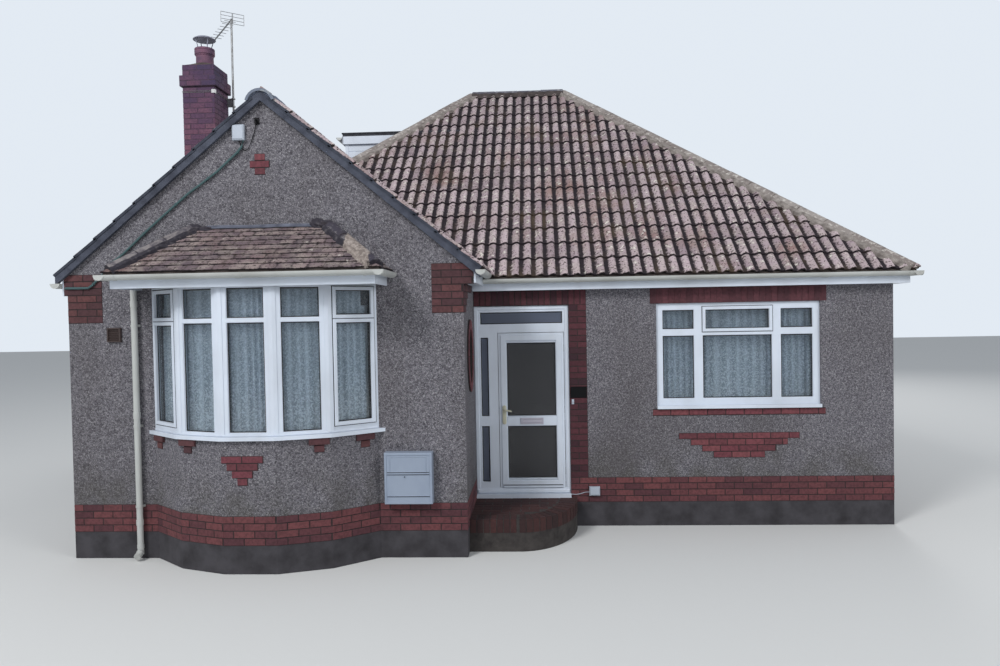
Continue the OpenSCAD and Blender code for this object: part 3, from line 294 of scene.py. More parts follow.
def lace(name, tint, holes):
    """A net that lets the dark room through, closer in its fine flowers; its fold crests are painted whiter
    and closer as painted light and shade of the gathers.
    """
    m = Mat(name, tint, 0.9)
    weave = m.cells(190, "Distance")
    low = m.ramp(m.times(m.split()[2], 0.4), (0.72, 1.0), (0.98, 0.5))
    flowers = m.times(m.ramp(m.noise(52, 2), (0.50, 0.0), (0.56, 0.46)), low)
    # Painted light and shade of the gathers: lighter and closer on their crests
    fold_shading = m.ramp(m.crest(), (0.25, 0.0), (0.95, 0.22))
    thread = m.ramp(weave, (0.25, 0.86), (0.75, 0.86 - holes))
    cover = m.math("ADD", m.math("ADD", thread, flowers), fold_shading, True)
    m.put(m.bsdf.inputs["Alpha"], cover)
    m.colour(m.mix(m.math("ADD", flowers, fold_shading, True), tint, (246, 249, 254)))
    m.bump(weave, 0.001, 0.4)


# Materials
pebbledash("pebbledash", False)
pebbledash("pebbledash_walls", True)
for spec in (
        ("grey_render", (68, 66, 70), (46, 44, 47), 5, 0.004),
        ("step_concrete", (66, 62, 60), (42, 38, 38), 9, 0.004),
        ("mortar", (92, 82, 76), (60, 52, 48), 14, 0.005),
        ("dark_mortar", (56, 46, 46), (36, 30, 32), 14, 0.005),
        ("sooty_mortar", (84, 66, 80), (60, 50, 66), 14, 0.004),
        ("hip_bedding", (156, 148, 142), (102, 94, 90), 12, 0.012),
        ("ridge_bedding", (84, 76, 74), (50, 44, 44), 12, 0.010),
        ("roof_edge", (88, 80, 76), (56, 50, 48), 10, 0.006),
        # verge_edge, verge_bed and ridge_plug are bluish grey, partly lichen and partly painted shade
        ("verge_edge", (62, 66, 77), (40, 44, 54), 9, 0.004),
        ("verge_bed", (74, 78, 90), (52, 55, 66), 9, 0.005),
        ("ridge_plug", (112, 122, 140), (80, 86, 102), 9, 0.006),
        ("plaster", (196, 190, 180), (178, 172, 160), 2, 0.001),
        ("floor_screed", (122, 108, 92), (92, 80, 68), 3, 0.002),
        ("roof_felt", (62, 64, 70), (42, 43, 47), 9, 0.002),
        ("lead", (104, 108, 122), (62, 64, 76), 7, 0.002, 0.6),
        ("clay", (116, 82, 100), (82, 66, 86), 9, 0.002, 0.85),
        ("cowl_metal", (150, 152, 166), (108, 108, 122), 14, 0.001, 0.6)):
    speckled(*spec)
for spec in (
        ("brick", (72, 39, 46), (86, 47, 54), (56, 34, 42)),
        ("quoin_brick", (84, 54, 58), (72, 48, 52), (98, 62, 62)),
        ("step_brick", (60, 36, 36), (70, 42, 40), (50, 34, 34)),
        ("red_brick", (112, 60, 68), (96, 54, 60), (122, 70, 74)),
        ("lintel_brick", (84, 48, 54), (94, 56, 62), (74, 44, 50)),
        ("band_brick", (96, 56, 60), (110, 64, 66), (80, 48, 54)),
        ("sooty_brick", (122, 78, 94), (98, 68, 88), (132, 88, 100), True)):
    brick(*spec)
tile("roll_tiles", (192, 174, 178), (36, 28, 34), (154, 136, 142), (140, 104, 90), 0.60)
# The bay's plain tiles are darker overall, partly moss and partly painted shade of the shadow over the bay
# roof's upper part
tile("plain_tiles", (128, 110, 112), (34, 28, 33), (92, 80, 86), (108, 84, 80), 0.66)
for spec in (
        ("ridge_tile", (108, 108, 118), (82, 80, 90), (160, 158, 158)),
        # The wing's ridge tiles are bluish grey, partly lichen and partly painted shade
        ("wing_ridge_tile", (118, 126, 140), (98, 104, 118), (146, 150, 152)),
        ("hip_tile", (156, 148, 143), (132, 122, 118), (204, 198, 190)),
        # The bay's hip tiles and bedding are dark as painted shade; their last tints paint the lit parts
        # lighter
        ("bay_hip_tile", (64, 60, 70), (48, 46, 56), (120, 116, 118), (160, 149, 142), (126, 120, 120)),
        ("bay_bedding", (56, 52, 60), (44, 42, 50), (84, 80, 84), (152, 141, 134))):
    cap(*spec)
for spec in (
        ("white_plastic", (209, 217, 229), (168, 172, 178)),
        ("gutter_plastic", (184, 186, 183), (132, 130, 122)),
        ("box_plastic", (176, 184, 196), (140, 147, 156)),
        ("meter_plastic", (143, 154, 171), (106, 118, 140)),
        ("pale_brass", (196, 194, 172), (150, 144, 118))):
    plastic(*spec)
plain("gasket_and_shade", (26, 28, 32), 0.6, 200, 0.0005)
plain("black_plastic", (9, 9, 14), 0.55, 150, 0.0004, Specular_IOR_Level=0.2)
plain("brown_plastic", (64, 52, 50), 0.6, 120, 0.0006)
plain("green_cable", (66, 90, 92), 0.8, 200, 0.0005)
for name, tint, rough, clear, *grain in (
        ("glass", (226, 234, 236), 0.03, 1.0, 1.2, 0.002, 1, 0.15),
        ("obscure_glass", (150, 150, 156), 0.25, 0.92, 60, 0.004, 2, 0.7),
        ("frosted_glass", (142, 152, 176), 0.3, 0.74, 70, 0.004, 2, 0.7)):
    plain(name, tint, rough, *grain, Transmission_Weight=clear, IOR=1.45)
for name, tint, low, high in (
        ("cream_metal", (200, 194, 164), 0.25, 0.45), ("letter_metal", (182, 178, 190), 0.3, 0.5)):
    metal = Mat(name, tint, 0.4)
    metal.rough(metal.noise(25), low, high)
steel = Mat("galvanised_steel", (150, 152, 154), 0.45, Metallic=0.8)
steel.colour(steel.stain((150, 152, 154), (104, 98, 92), 18, 5, (0.4, 0.0), (0.7, 0.6)))
lace("net_curtain", (206, 216, 233), 0.38)


def arc(centre, side, up, r, degrees):
    """Points round the centre at the given degrees, turning from side to up."""
    return [centre + r * (cos(radians(k)) * side + sin(radians(k)) * up) for k in degrees]


def turn(sides):
    return [360 * k / sides for k in range(sides)]


def mesh_object(name, mesh, mat):
    mesh.materials.append(MATS[mat])
    obj = bpy.data.objects.new(name, mesh)
    scene.collection.objects.link(obj)
    return obj


class Shape:
    """Corner points and faces of one piece; crest is a value per point for its material."""

    def __init__(self):
        self.v, self.f, self.c = [], [], []

    def add(self, verts, faces, crest=None):
        n = len(self.v)
        self.v += [tuple(p) for p in verts]
        self.c += crest or [0.0] * len(verts)
        self.f += [tuple(n + i for i in f) for f in faces]

    def box(self, o, u, v, w, chamfer):
        """A box from corner o with edges u, v and w; its face at w gets a chamfered rim."""
        o, u, v, w = V(o), V(u), V(v), V(w)
        b = [o, o + u, o + u + v, o + v]
        c = min(chamfer, u.length / 3, v.length / 3, w.length * 0.9)
        cu, cv, cw = c * u.normalized(), c * v.normalized(), c * w.normalized()
        rim = [b[0] + w + cu + cv, b[1] + w - cu + cv, b[2] + w - cu - cv, b[3] + w + cu - cv]
        faces = [(3, 2, 1, 0), (8, 9, 10, 11)]
        for a, e in ((0, 4), (4, 8)):
            faces += [(a + i, a + (i + 1) % 4, e + (i + 1) % 4, e + i) for i in range(4)]
        if u.cross(v).dot(w) < 0:
            faces = [tuple(reversed(q)) for q in faces]
        self.add(b + [q + w - cw for q in b] + rim, faces)

    def block(self, x, y, z, wide, high, deep, chamfer):
        """A box that stands out from a front face."""
        self.box((x, y, z), X * wide, Z * high, -Y * deep, chamfer)

    def sweep(self, rings, closed=False):
        """Joins rings of points, all of one length, into a skin."""
        n, last = len(rings[0]), len(rings) - 1
        faces = []
        for i in range(last + closed):
            a, b = i * n, (i + 1) % len(rings) * n
            faces += [(a + j, a + (j + 1) % n, b + (j + 1) % n, b + j) for j in range(n)]
        if not closed:
            faces += [tuple(reversed(range(n))), tuple(range(last * n, last * n + n))]
        self.add([p for r in rings for p in r], faces)

    def slab(self, points, thick):
        """A plate from a ring of points."""
        self.sweep([points, [p + thick for p in points]])

    def tube(self, path, radius, sides=8):
        path = [V(p) for p in path]
        rings = []
        for i, p in enumerate(path):
            d = (path[min(i + 1, len(path) - 1)] - path[max(i - 1, 0)]).normalized()
            side = d.cross(Z if abs(d.z) < 0.9 else X).normalized()
            r = radius[i] if isinstance(radius, list) else radius
            rings.append(arc(p, side, side.cross(d), r, turn(sides)))
        self.sweep(rings)

    def turned(self, at, profile, sides=32):
        """A solid turned round the upright through at, from (radius, height) points."""
        self.sweep([arc(V(at) + Z * z, X, Y, r, turn(sides)) for r, z in profile])

    def frame(self, o, along, out, x0, z0, x1, z1, section):
        """A mitred ring round x0..x1, z0..z1, its section given as (inward, outward) points."""
        corners = ((x0, z0, 1, 1), (x1, z0, -1, 1), (x1, z1, -1, -1), (x0, z1, 1, -1))
        self.sweep([[V(o) + along * (x + sx * d) + Z * (z + sz * d) + out * w for d, w in section]
                    for x, z, sx, sz in corners], closed=True)

    def band(self, at, d, r, width, degrees=range(180, 361, 15), thick=0.004):
        """A strap of an arc's shape round the axis d."""
        at, d = V(at), V(d)
        level = abs(d.z) < 0.9
        side, up = (d.cross(Z).normalized(), Z) if level else (X, Y)
        self.sweep([arc(at + d * e, side, up, r + thick, degrees)
                    + arc(at + d * e, side, up, r - 0.002, reversed(degrees))
                    for e in (-width / 2, width / 2)])

    def make(self, name, mat, body="house", smooth=False, crest=False):
        mesh = bpy.data.meshes.new(name)
        mesh.from_pydata(self.v, [], self.f)
        if crest:
            mesh.attributes.new("crest", "FLOAT", "POINT").data.foreach_set("value", self.c)
        bm = bmesh.new()
        bm.from_mesh(mesh)
        bmesh.ops.recalc_face_normals(bm, faces=bm.faces)
        bm.to_mesh(mesh)
        bm.free()
        if smooth:
            mesh.shade_smooth()
            mesh.set_sharp_from_angle(angle=radians(35))
        obj = mesh_object(name, mesh, mat)
        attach(obj, body)
        return obj


# Brickwork
BRICK_L, JOINT, PROUD = 0.215, 0.010, 0.007


def bricks(s, o, along, out, length, rows, first=0, gauge=COURSE, deep=0.012, proud=0.004):
    """Stretcher courses from corner o, standing proud of the face."""
    for r in range(rows):
        x = -((r + first) % 2) * (BRICK_L + JOINT) / 2
        while x < length - 0.02:
            a, b = max(x, 0), min(x + BRICK_L, length)
            if b - a > 0.02:
                uneven = rng.uniform(-0.0012, 0.0012)
                at = V(o) + along * a + Z * (r * gauge + JOINT / 2) - out * (deep - proud)
                s.box(at, along * (b - a), Z * (gauge - JOINT), out * (deep + uneven), 0.003)
            x += BRICK_L + JOINT


def soldiers(s, x, z, length, height, proud=0.004):
    """Bricks on end over an opening of the main front."""
    n = round(length / 0.075)
    step = length / n
    for i in range(n):
        s.block(x + i * step + JOINT / 2, 0.012 - proud, z, step - JOINT, height,
                0.012 + rng.uniform(-0.001, 0.001), 0.003)


def plate(s, o, along, out, length, height=COURSE):
    s.box(V(o) - out * 0.004, along * length, Z * height, out * 0.007, 0.001)


def panel(s, o, along, out, length, first=0):
    """One course of a brick pattern on its bed of mortar."""
    plate(beds, o, along, out, length)
    bricks(s, o, along, out, length, 1, first, proud=PROUD)


band = Shape()
for x, y, along, out, length in (
        (1.19, 0, X, -Y, RIGHT - 1.19), (0, -OUT, Y, X, OUT), (LEFT, -OUT, X, -Y, BAY[0].x - LEFT),
        (BAY[5].x, -OUT, X, -Y, -BAY[5].x), (RIGHT, 0, Y, X, REAR), (RIGHT, REAR, -X, Y, RIGHT - JOG_X),
        (JOG_X, REAR, -Y, -X, REAR - JOG_Y), (JOG_X, JOG_Y, -X, Y, JOG_X - LEFT),
        (LEFT, JOG_Y, -Y, -X, JOG_Y - SY - SD), (LEFT, SY, -Y, -X, SY + OUT)):
    bricks(band, (x, y, PLINTH), along, out, length, 4)
for i in range(5):
    bricks(band, BAY[i] + Z * PLINTH, ALONG[i], FACING[i], FACET, 4, i)
band.make("band_bricks", "band_brick")

pier = Shape()
bricks(pier, (1.19, 0, BAND), X, -Y, 0.22, 28, gauge=0.0775)
soldiers(pier, 0, 2.78, 1.41, 0.18)
pier.make("door_bricks", "brick")

# Patterns: the window's lintel, course and motif, the quoins, the cross and the bay's motif and corbels
beds, marks, lintel, quoins, corbels = (Shape() for _ in range(5))
plate(lintel, (2.20, 0, 2.772), X, -Y, 2.15, 0.192)
soldiers(lintel, 2.20, 2.772, 2.15, 0.188, PROUD)
plate(beds, (2.22, 0, 1.372), X, -Y, 2.11, 0.086)
bricks(marks, (2.22, 0, 1.376), X, -Y, 2.11, 1, proud=PROUD)
for r, w in enumerate((1.47, 1.18, 0.90, 0.62)):
    o = V((3.275 - w / 2, 0, 1.078 - r * COURSE))
    plate(beds, o - X * 0.005, X, -Y, w + 0.01)
    bricks(marks, o, X, -Y, w, 1, proud=PROUD)
for x, z, w, left, right in ((-0.348, 2.700, 0.348, 0, 0.118), (LEFT, 2.655, 0.396, 0.040, 0)):
    for r in range(7):
        o = V((x - (left if r > 3 else 0), -OUT, z + r * COURSE))
        panel(quoins, o, X, -Y, w + (left + right if r > 3 else 0), r)
for r, w in enumerate((0.225, 0.3375, 0.45, 0.9) + (OUT - 0.01,) * 3):
    panel(quoins, (0, -OUT, 2.700 + r * COURSE), Y, X, w, r + 1)
for x, w, z in ((-2.285, 0.115, 4.418), (-2.34, 0.225, 4.340), (-2.285, 0.115, 4.262)):
    panel(marks, (x, -OUT, z), X, -Y, w)
for r, w in enumerate((0.450, 0.337, 0.225, 0.112)):
    panel(marks, (MID - w / 2 - 0.065, BAY[2].y, 1.165 - r * COURSE), X, -Y, w, r)
for i, at in ((0, 0.12), (1, 0.12), (3, 0.45), (4, 0.40)):
    for r, w in enumerate((0.215, 0.105)):
        o = BAY[i] + ALONG[i] * (at - w / 2) + Z * (1.327 - r * COURSE)
        plate(beds, o, ALONG[i], FACING[i], w)
        bricks(corbels, o, ALONG[i], FACING[i], w, 1, proud=0.030 - r * 0.015, deep=0.040)
for s, name, mat in (
        (lintel, "window_lintel_bricks", "lintel_brick"), (quoins, "quoin_bricks", "quoin_brick"),
        (beds, "pattern_mortar", "dark_mortar"), (corbels, "corbel_bricks", "quoin_brick"),
        (marks, "pattern_bricks", "red_brick")):
    s.make(name, mat)

# Ring of the oval window
ring, count = Shape(), 26
for i in range(count):
    a, b = (2 * pi * (i + f) / count for f in (0.07, 0.93))
    ring.slab([V((0.010, -0.655 + (0.307 - k) * cos(t), 2.195 + (0.422 - k) * sin(t)))
               for t, k in ((a, 0), (b, 0), (b, 0.104), (a, 0.104))], X * 0.013)
ring.make("oval_bricks", "red_brick")

stack = Shape()
for x, y, along, out, length, low in ((SX, SY + SD, -Y, -X, SD, 0), (SX, SY, X, -Y, SW, 36),
                                      (SX + SW, SY, Y, X, SD, 36), (SX + SW, SY + SD, -X, Y, SW, 36)):
    bricks(stack, (x, y, low * COURSE), along, out, length, 79 - low, first=0 if along.x else 1)
    for z, grow in ((6.175, 0.035), (6.335, 0.0)):
        corner = V((x, y, z)) + (out - along) * grow
        bricks(stack, corner, along, out, length + 2 * grow, 2, gauge=0.08, first=1)
stack.make("chimney_bricks", "sooty_brick")

# Door step: bricks on end along its straight side and round its corner, and a paved top
step = Shape()
for i in range(7):
    step.box((0.01 + i * 0.0755, -1.054, 0.215), X * 0.0655, Y * 0.215, Z * 0.149, 0.003)
for i in range(14):
    a, b = (radians(-90 + 90 * (i + f) / 14) for f in (0.06, 0.94))
    step.slab([V((0.56 + (0.704 - k) * cos(t), (1.054 - k) * sin(t), 0.215))
               for t, k in ((a, 0), (b, 0), (b, 0.215), (a, 0.215))], Z * 0.149)
for r in range(7):
    y = -0.82 + r * 0.118
    wide = 0.56 + 0.48 * sqrt(max(0.0, 1 - ((abs(y) + 0.01) / 0.836) ** 2)) if y < -0.02 else 1.04
    x = -0.10 * (r % 2)
    while x < wide - 0.05:
        a, b = max(x, 0.005), min(x + BRICK_L, wide)
        if b - a > 0.03:
            step.box((a, y, 0.350), X * (b - a), Y * 0.105, Z * 0.0125, 0.003)
        x += BRICK_L + JOINT
step.make("step_bricks", "step_brick")

# Roof tiles: one double roll tile and one plain tile as (across, height, lightness) points; the lightness
# drops on each roll's right flank as painted shade and stays low in its pan
ROLL = [(k * 0.15 + t, h, c) for k in (0, 1) for t, h, c in (
    (0, 0.0, 0.45), (0.010, 0.008, 0.75), (0.026, 0.019, 0.95), (0.044, 0.028, 1.0), (0.062, 0.032, 1.0),
    (0.078, 0.029, 1.0), (0.090, 0.019, 0.75), (0.098, 0.008, 0.2), (0.104, 0.0, 0.0), (0.128, -0.001, 0.0))]
ROLL.append((0.2995, 0.0, 0.3))
PLAIN_W = 0.165
PLAIN = [(0.0015, 0.0, 0.6), (PLAIN_W * 0.3, 0.002, 1.0), (PLAIN_W * 0.7, 0.002, 1.0),
         (PLAIN_W - 0.0015, 0.0, 0.6)]
BATTEN = 0.003


def clip(s, polygons, name, mat):
    """Cuts a tile field to convex plan polygons and makes one piece of the parts."""
    out = Shape()
    for poly in polygons:
        mesh = bpy.data.meshes.new("cut")
        mesh.from_pydata(s.v, [], s.f)
        mesh.attributes.new("crest", "FLOAT", "POINT").data.foreach_set("value", s.c)
        bm = bmesh.new()
        bm.from_mesh(mesh)
        edges = list(zip(poly, poly[1:] + poly[:1]))
        way = 1 if sum(p[0] * q[1] - q[0] * p[1] for p, q in edges) > 0 else -1
        for p, q in edges:
            bmesh.ops.bisect_plane(bm, geom=bm.verts[:] + bm.edges[:] + bm.faces[:], dist=1e-5,
                                   plane_co=(p[0], p[1], 0), clear_outer=True,
                                   plane_no=V((q[1] - p[1], p[0] - q[0], 0)) * way)
        values = bm.verts.layers.float["crest"]
        bm.verts.index_update()
        out.add([v.co.copy() for v in bm.verts], [[v.index for v in f.verts] for f in bm.faces],
                [v[values] for v in bm.verts])
        bm.free()
        bpy.data.meshes.remove(mesh)
    out.make(name, mat, crest=True)


def tiles(o, a, u, width, height, gauge, tile_w, profile, thick, lap, stagger, jit, shade):
    """A field of lapped tiles on a slope; a runs along the eaves and u up the slope."""
    s, m = Shape(), len(profile)
    faces = [(r * m + j, r * m + j + 1, (r + 1) * m + j + 1, (r + 1) * m + j)
             for r in range(5) for j in range(m - 1)]
    u = u.normalized()
    out = a.cross(u).normalized()
    out = out if out.z > 0 else -out
    for k in range(ceil(height / gauge)):
        x = -(k % 2) * stagger - tile_w
        while x < width + tile_w:
            lift, push, twist = rng.uniform(0, jit), rng.uniform(-jit, jit) * 1.6, rng.uniform(-jit, jit)
            s0, s1 = k * gauge + push - (0.012 if k == 0 else 0), (k + 1) * gauge + lap
            tone = rng.uniform(-0.10, 0.06)
            edge = s1 - lap - shade
            rings, crest = [[] for _ in range(6)], []
            for t, h, c in profile:
                low = h + thick + BATTEN + lift + twist * (t / tile_w - 0.5)
                line = low + (h + BATTEN - low) * (1 - lap / (s1 - s0))
                for ring, (far, up) in zip(rings, (
                        (s0, low - thick - 0.004), (s0, low - 0.004), (s0 + 0.005, low),
                        (edge, line), (edge + 0.008, line), (s1, h + BATTEN))):
                    ring.append(o + a * (x + t) + u * far + out * up)
                crest.append(max(0.0, min(1.0, c + tone if c > 0.5 else c)))
            # Crest per ring: the nose face and, past edge, a strip below the next course's nose are dark,
            # painted shade of the noses and of their shadow
            s.add([p for r in rings for p in r], faces,
                  [0.0] * m + [c * 0.45 for c in crest] + crest * 2 + [0.0] * m * 2)
            x += tile_w
    return s


def slope(name, x, y, z, a, inward, width, run, gauge, *polygons):
    """A side of the roof in roll tiles, from its corner at the eaves."""
    field = tiles(V((x, y, z)), a, inward + Z * RISE, width, run * SLOPE, gauge, 0.30, ROLL, 0.020, 0.03,
                  0.0, 0.0025, 0.024)
    clip(field, polygons, name, "roll_tiles")


# Reach of the cuts past the eaves, and gauges of the main body and of the wing
FAR = 0.1
G1, G2 = RUN * SLOPE / 15.45, 0.30
left_x = OVER + LIFT / RISE + FAR
slope("tiles_front", OVER - 2.4, EF, EAVES, X, Y, ER - OVER + 2.4, RUN, G1,
      [(left_x, EF - FAR), (ER + FAR, EF - FAR), RR, RL, VTOP],
      [(OVER, EF - FAR), (left_x, EF - FAR), VLOW])
slope("tiles_rear", ER, EB, EAVES, -X, -Y, ER - EM, RUN, G1,
      [(ER + FAR, EB + FAR), (EM - FAR, EB + FAR), RL, RR])
slope("tiles_right", ER, EF, EAVES, Y, -X, EB - EF, RUN, G1, [(ER + FAR, EF - FAR), (ER + FAR, EB + FAR), RR])
middle = (VX, REAR / 2 + RL[0] - VX)
slope("tiles_main_left", EM, EB, EAVES, -Y, X, EB - EF, RUN, G2,
      [(EM - FAR, EB + FAR), (EM - FAR, EJ + FAR), JTOP, middle], [VTOP, RL, middle])
slope("tiles_left", EL + TRIM, EJ, EAVES + TRIM * RISE, -Y, X, EJ - VERGE, WRUN - TRIM, G2,
      [(EL - FAR, EJ + FAR), (EL - FAR, VERGE), (WX, VERGE), (WX, WEND)])
slope("tiles_jog", OVER, EJ - TRIM, EAVES + TRIM * RISE, -X, -Y, OVER - EL, WRUN - TRIM, G2,
      [(EL - FAR, EJ + FAR), (WX, WEND), JTOP, (EM - FAR, EJ + FAR)])
slope("tiles_wing", OVER, VERGE, EAVES + LIFT, Y, -X, JTOP[1] - VERGE, OVER - WX, G2,
      [(WX, VERGE), (OVER + FAR, VERGE), (OVER + FAR, VLOW[1] - FAR), VTOP, (WX, VTOP[1])],
      [(WX, VTOP[1]), VTOP, JTOP, (WX, WEND)])

# Plain tiles of the bay roof
c0, c1, cf = MID - CAN_HALF - LIP, MID + CAN_HALF + LIP, -OUT - CRUN
for name, x, y, a, inward, width, poly in (
        ("front", c0, cf, X, Y, c1 - c0,
         [(c0 - FAR, cf - FAR), (c1 + FAR, cf - FAR), (c1 - CRUN, -OUT), (c0 + CRUN, -OUT)]),
        ("left", c0, -OUT, -Y, X, CRUN, [(c0 - FAR, -OUT), (c0 - FAR, cf - FAR), (c0 + CRUN, -OUT)]),
        ("right", c1, cf, Y, -X, CRUN, [(c1 + FAR, cf - FAR), (c1 + FAR, -OUT), (c1 - CRUN, -OUT)])):
    field = tiles(V((x, y, CAN_Z)), a, inward + Z * CRISE, width, CRUN * sqrt(1 + CRISE ** 2), 0.092, PLAIN_W,
                  PLAIN, 0.012, 0.02, PLAIN_W / 2, 0.003, 0.008)
    clip(field, [poly], "bay_tiles_" + name, "plain_tiles")


def caps(pair, p, q, r=0.118, sink=0.065, length=0.42, reach=82, bed_out=0.03, rough=0.010, start=0.07,
         bed_start=0.0):
    """Round tiles from p up to q on a ragged bed of mortar, their centre sunk below the edge."""
    cover, bed = pair
    p, q = V(p) - Z * sink, V(q) - Z * sink
    d = (q - p).normalized()
    p = p + d * start
    side = d.cross(Z).normalized()
    up = side.cross(d)
    n = max(1, round((q - p).length / length))
    step_l = (q - p).length / n
    for i in range(n):
        ends = p + d * (i * step_l + 0.006), p + d * ((i + 1) * step_l - 0.006)
        size = r + rng.uniform(-0.004, 0.004)
        cover.sweep([arc(c, up, side, size, range(-reach, reach + 1, 12))
                     + arc(c, up, side, size - 0.014, range(reach, -reach - 1, -12)) for c in ends])
    first, rings = p + d * bed_start, []
    m = max(2, int((q - p).length / 0.06))
    for i in range(m + 1):
        c = first + (q - first) * i / m
        ring_pts = []
        for t in range(-90, 91, 15):
            grow = bed_out if abs(t) > 68 else (-0.008 if abs(t) < 60 else 0.012)
            grow += rng.uniform(-rough, rough) * (abs(t) > 55)
            ring_pts += arc(c - up * (0.02 if abs(t) > 75 else 0), up, side, r + grow, [t])
        rings.append(ring_pts + [c + up * 0.02])
    bed.sweep(rings)


def lump(s, at, rx, ry, rz, rows=8, sides=14):
    """A rough heap of mortar."""
    rings = []
    for i in range(1, rows):
        a = pi * i / rows
        rings.append([V(at) + V((-rx * cos(a), ry * k * sin(a) * cos(b), rz * k * sin(a) * sin(b)))
                      for b, k in [(2 * pi * j / sides, rng.uniform(0.75, 1.2)) for j in range(sides)]])
    s.sweep(rings)


# Ridge and hip tiles on their mortar
ridge, hips, wing, bay_hips = ((Shape(), Shape()) for _ in range(4))
RZ = EAVES + RUN * RISE
caps(ridge, (*RL, RZ), (*RR, RZ), 0.125, bed_out=0.022, start=0.0)
for y in (EF, EB):
    caps(hips, (ER, y, EAVES), (*RR, RZ), rough=0.014)
caps(hips, (EM, EB, EAVES), (*RL, RZ))
caps(hips, (*VTOP, EAVES + VRUN * RISE), (*RL, RZ), start=0.0)
plug = arc(V((WX, VERGE + 0.003, WZ - 0.148)), Z, X, 0.152, range(-72, 73, 12))
plug += [V((WX + k, VERGE + 0.003, WZ - h))
         for k, h in ((0.150, 0.142), (0.11, 0.104), (-0.11, 0.104), (-0.150, 0.142))]
wing[1].slab(plug, Y * 0.03)
caps(wing, (WX, VERGE, WZ), (WX, WEND, WZ), 0.165, 0.148, reach=72, start=0.0, bed_start=0.06)
caps(wing, (EL + TRIM, EJ - TRIM, EAVES + TRIM * RISE), (WX, WEND, WZ))
for side in (-1, 1):
    low = V((MID + side * (CAN_HALF + LIP), cf, CAN_Z))
    caps(bay_hips, low, low + CRUN * V((-side, 1, CRISE)), 0.096, 0.040, length=0.33, bed_out=0.015,
         rough=0.012, start=0.075)
for x, z, *size in ((-2.99, 0, 0.11, 0.06, 0.055), (-2.86, -0.010, 0.10, 0.05, 0.038),
                    (-1.595, 0.020, 0.085, 0.05, 0.070), (-1.50, 0, 0.12, 0.06, 0.065)):
    lump(bay_hips[1], (x, -OUT - 0.02, CAN_TOP + z), *size)
for (cover, bed), name, mat, bed_mat, node in (
        (ridge, "ridge", "ridge_tile", "ridge_bedding", None),
        (hips, "hip", "hip_tile", "hip_bedding", "ridge_tiles"),
        (wing, "wing_ridge", "wing_ridge_tile", "ridge_plug", "wing_ridge_tiles"),
        (bay_hips, "bay_hip", "bay_hip_tile", "bay_bedding", "bay_hip_tiles")):
    obj = cover.make(name + "_caps", mat, smooth=True)
    if node:
        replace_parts(obj, node)
    bed.make(name + "_mortar", bed_mat)

# Verge of the gable: the tiles' ends over a band of mortar that follows both slopes
verge, verge_bed = Shape(), Shape()
feet = ((EL + TRIM, EAVES + TRIM * RISE), (OVER, EAVES + LIFT))
for side, (x, z) in zip((1, -1), feet):
    u, out = V((side, 0, RISE)).normalized(), V((-side * RISE, 0, 1)).normalized()
    total = abs(WX - x) * SLOPE
    for k in range(int((total - 0.17) / 0.30) + 1):
        o = V((x, VERGE - 0.010, z)) + u * (k * 0.30 - (0.012 if k == 0 else 0)) - out * 0.010
        verge.box(o, u * min(0.33, total - 0.12 - k * 0.30) - out * 0.012, Y * 0.045, out * 0.030, 0.004)
line = [V((x, VERGE - 0.003, z)) for x, z in (feet[0], (WX, WZ), feet[1])]
fall = Z * SLOPE
verge_bed.slab([p - fall * 0.002 for p in line] + [p - fall * 0.084 for p in reversed(line)], Y * 0.045)
verge.make("verge_tiles", "verge_edge")
verge_bed.make("verge_mortar", "verge_bed")

# Lights of the windows: beads, rubber lines widened with painted shade, and the sashes of those that open,
# ringed by a dark line of seal and painted shadow, as (inward, outward) sections
beads, lines, sashes = Shape(), Shape(), Shape()
BEAD = [(0.0, -0.002), (0.0, -0.0228), (0.006, -0.0228), (0.006, -0.016), (0.002, -0.002)]
# The rubber line round each light, wide enough to hold the shadow beside the bead: partly gasket, partly
# painted shade
GASKET_AND_SHADE = [(0.0055, -0.0228), (0.0165, -0.0228), (0.0165, -0.0205), (0.0055, -0.0165)]
SASH = [(-0.034, 0.0), (-0.034, 0.010), (-0.028, 0.016), (0.002, 0.016), (0.006, 0.008), (0.006, -0.020),
        (0.0, -0.020), (0.0, 0.0)]
# A dark line round each opening sash: its seal and painted shadow
SEAL_AND_SHADOW = [(-0.041, 0.0), (-0.041, 0.004), (-0.034, 0.005), (-0.034, 0.0)]
DORMER_BEAD = [(0.0, -0.02), (0.0, -0.052), (0.012, -0.052), (0.012, -0.045), (0.003, -0.02)]
DORMER_LINE = [(0.0115, -0.052), (0.0165, -0.052), (0.0165, -0.048), (0.0115, -0.047)]


def light(o, along, out, x0, z0, x1, z1, opens=False):
    if opens:
        lines.frame(o, along, out, x0, z0, x1, z1, SEAL_AND_SHADOW)
    (sashes if opens else beads).frame(o, along, out, x0, z0, x1, z1, SASH if opens else BEAD)
    lines.frame(o, along, out, x0, z0, x1, z1, GASKET_AND_SHADE)


def window(o, along, out, w, vent):
    """The lights of a flat window from its lower corner o; vent is the column that opens at its top."""
    side, bar, edge, top, mid, h = 0.391, 0.135, 0.08, 0.245, 0.075, 1.268
    centre = w - 2 * (edge + side + bar)
    if centre > side:
        cols = [(edge, side), (edge + side + bar, centre), (w - edge - side, side)]
    else:
        half = (w - 2 * edge - bar) / 2
        cols = [(edge, half), ((w + bar) / 2, half)]
    for i, (x, wide) in enumerate(cols):
        more = 0.032 if centre > side and i == 1 else 0
        light(o, along, out, x, h - edge - top, x + wide, h - edge, i == vent)
        light(o, along, out, x - more, edge, x + wide + more, h - edge - top - mid)


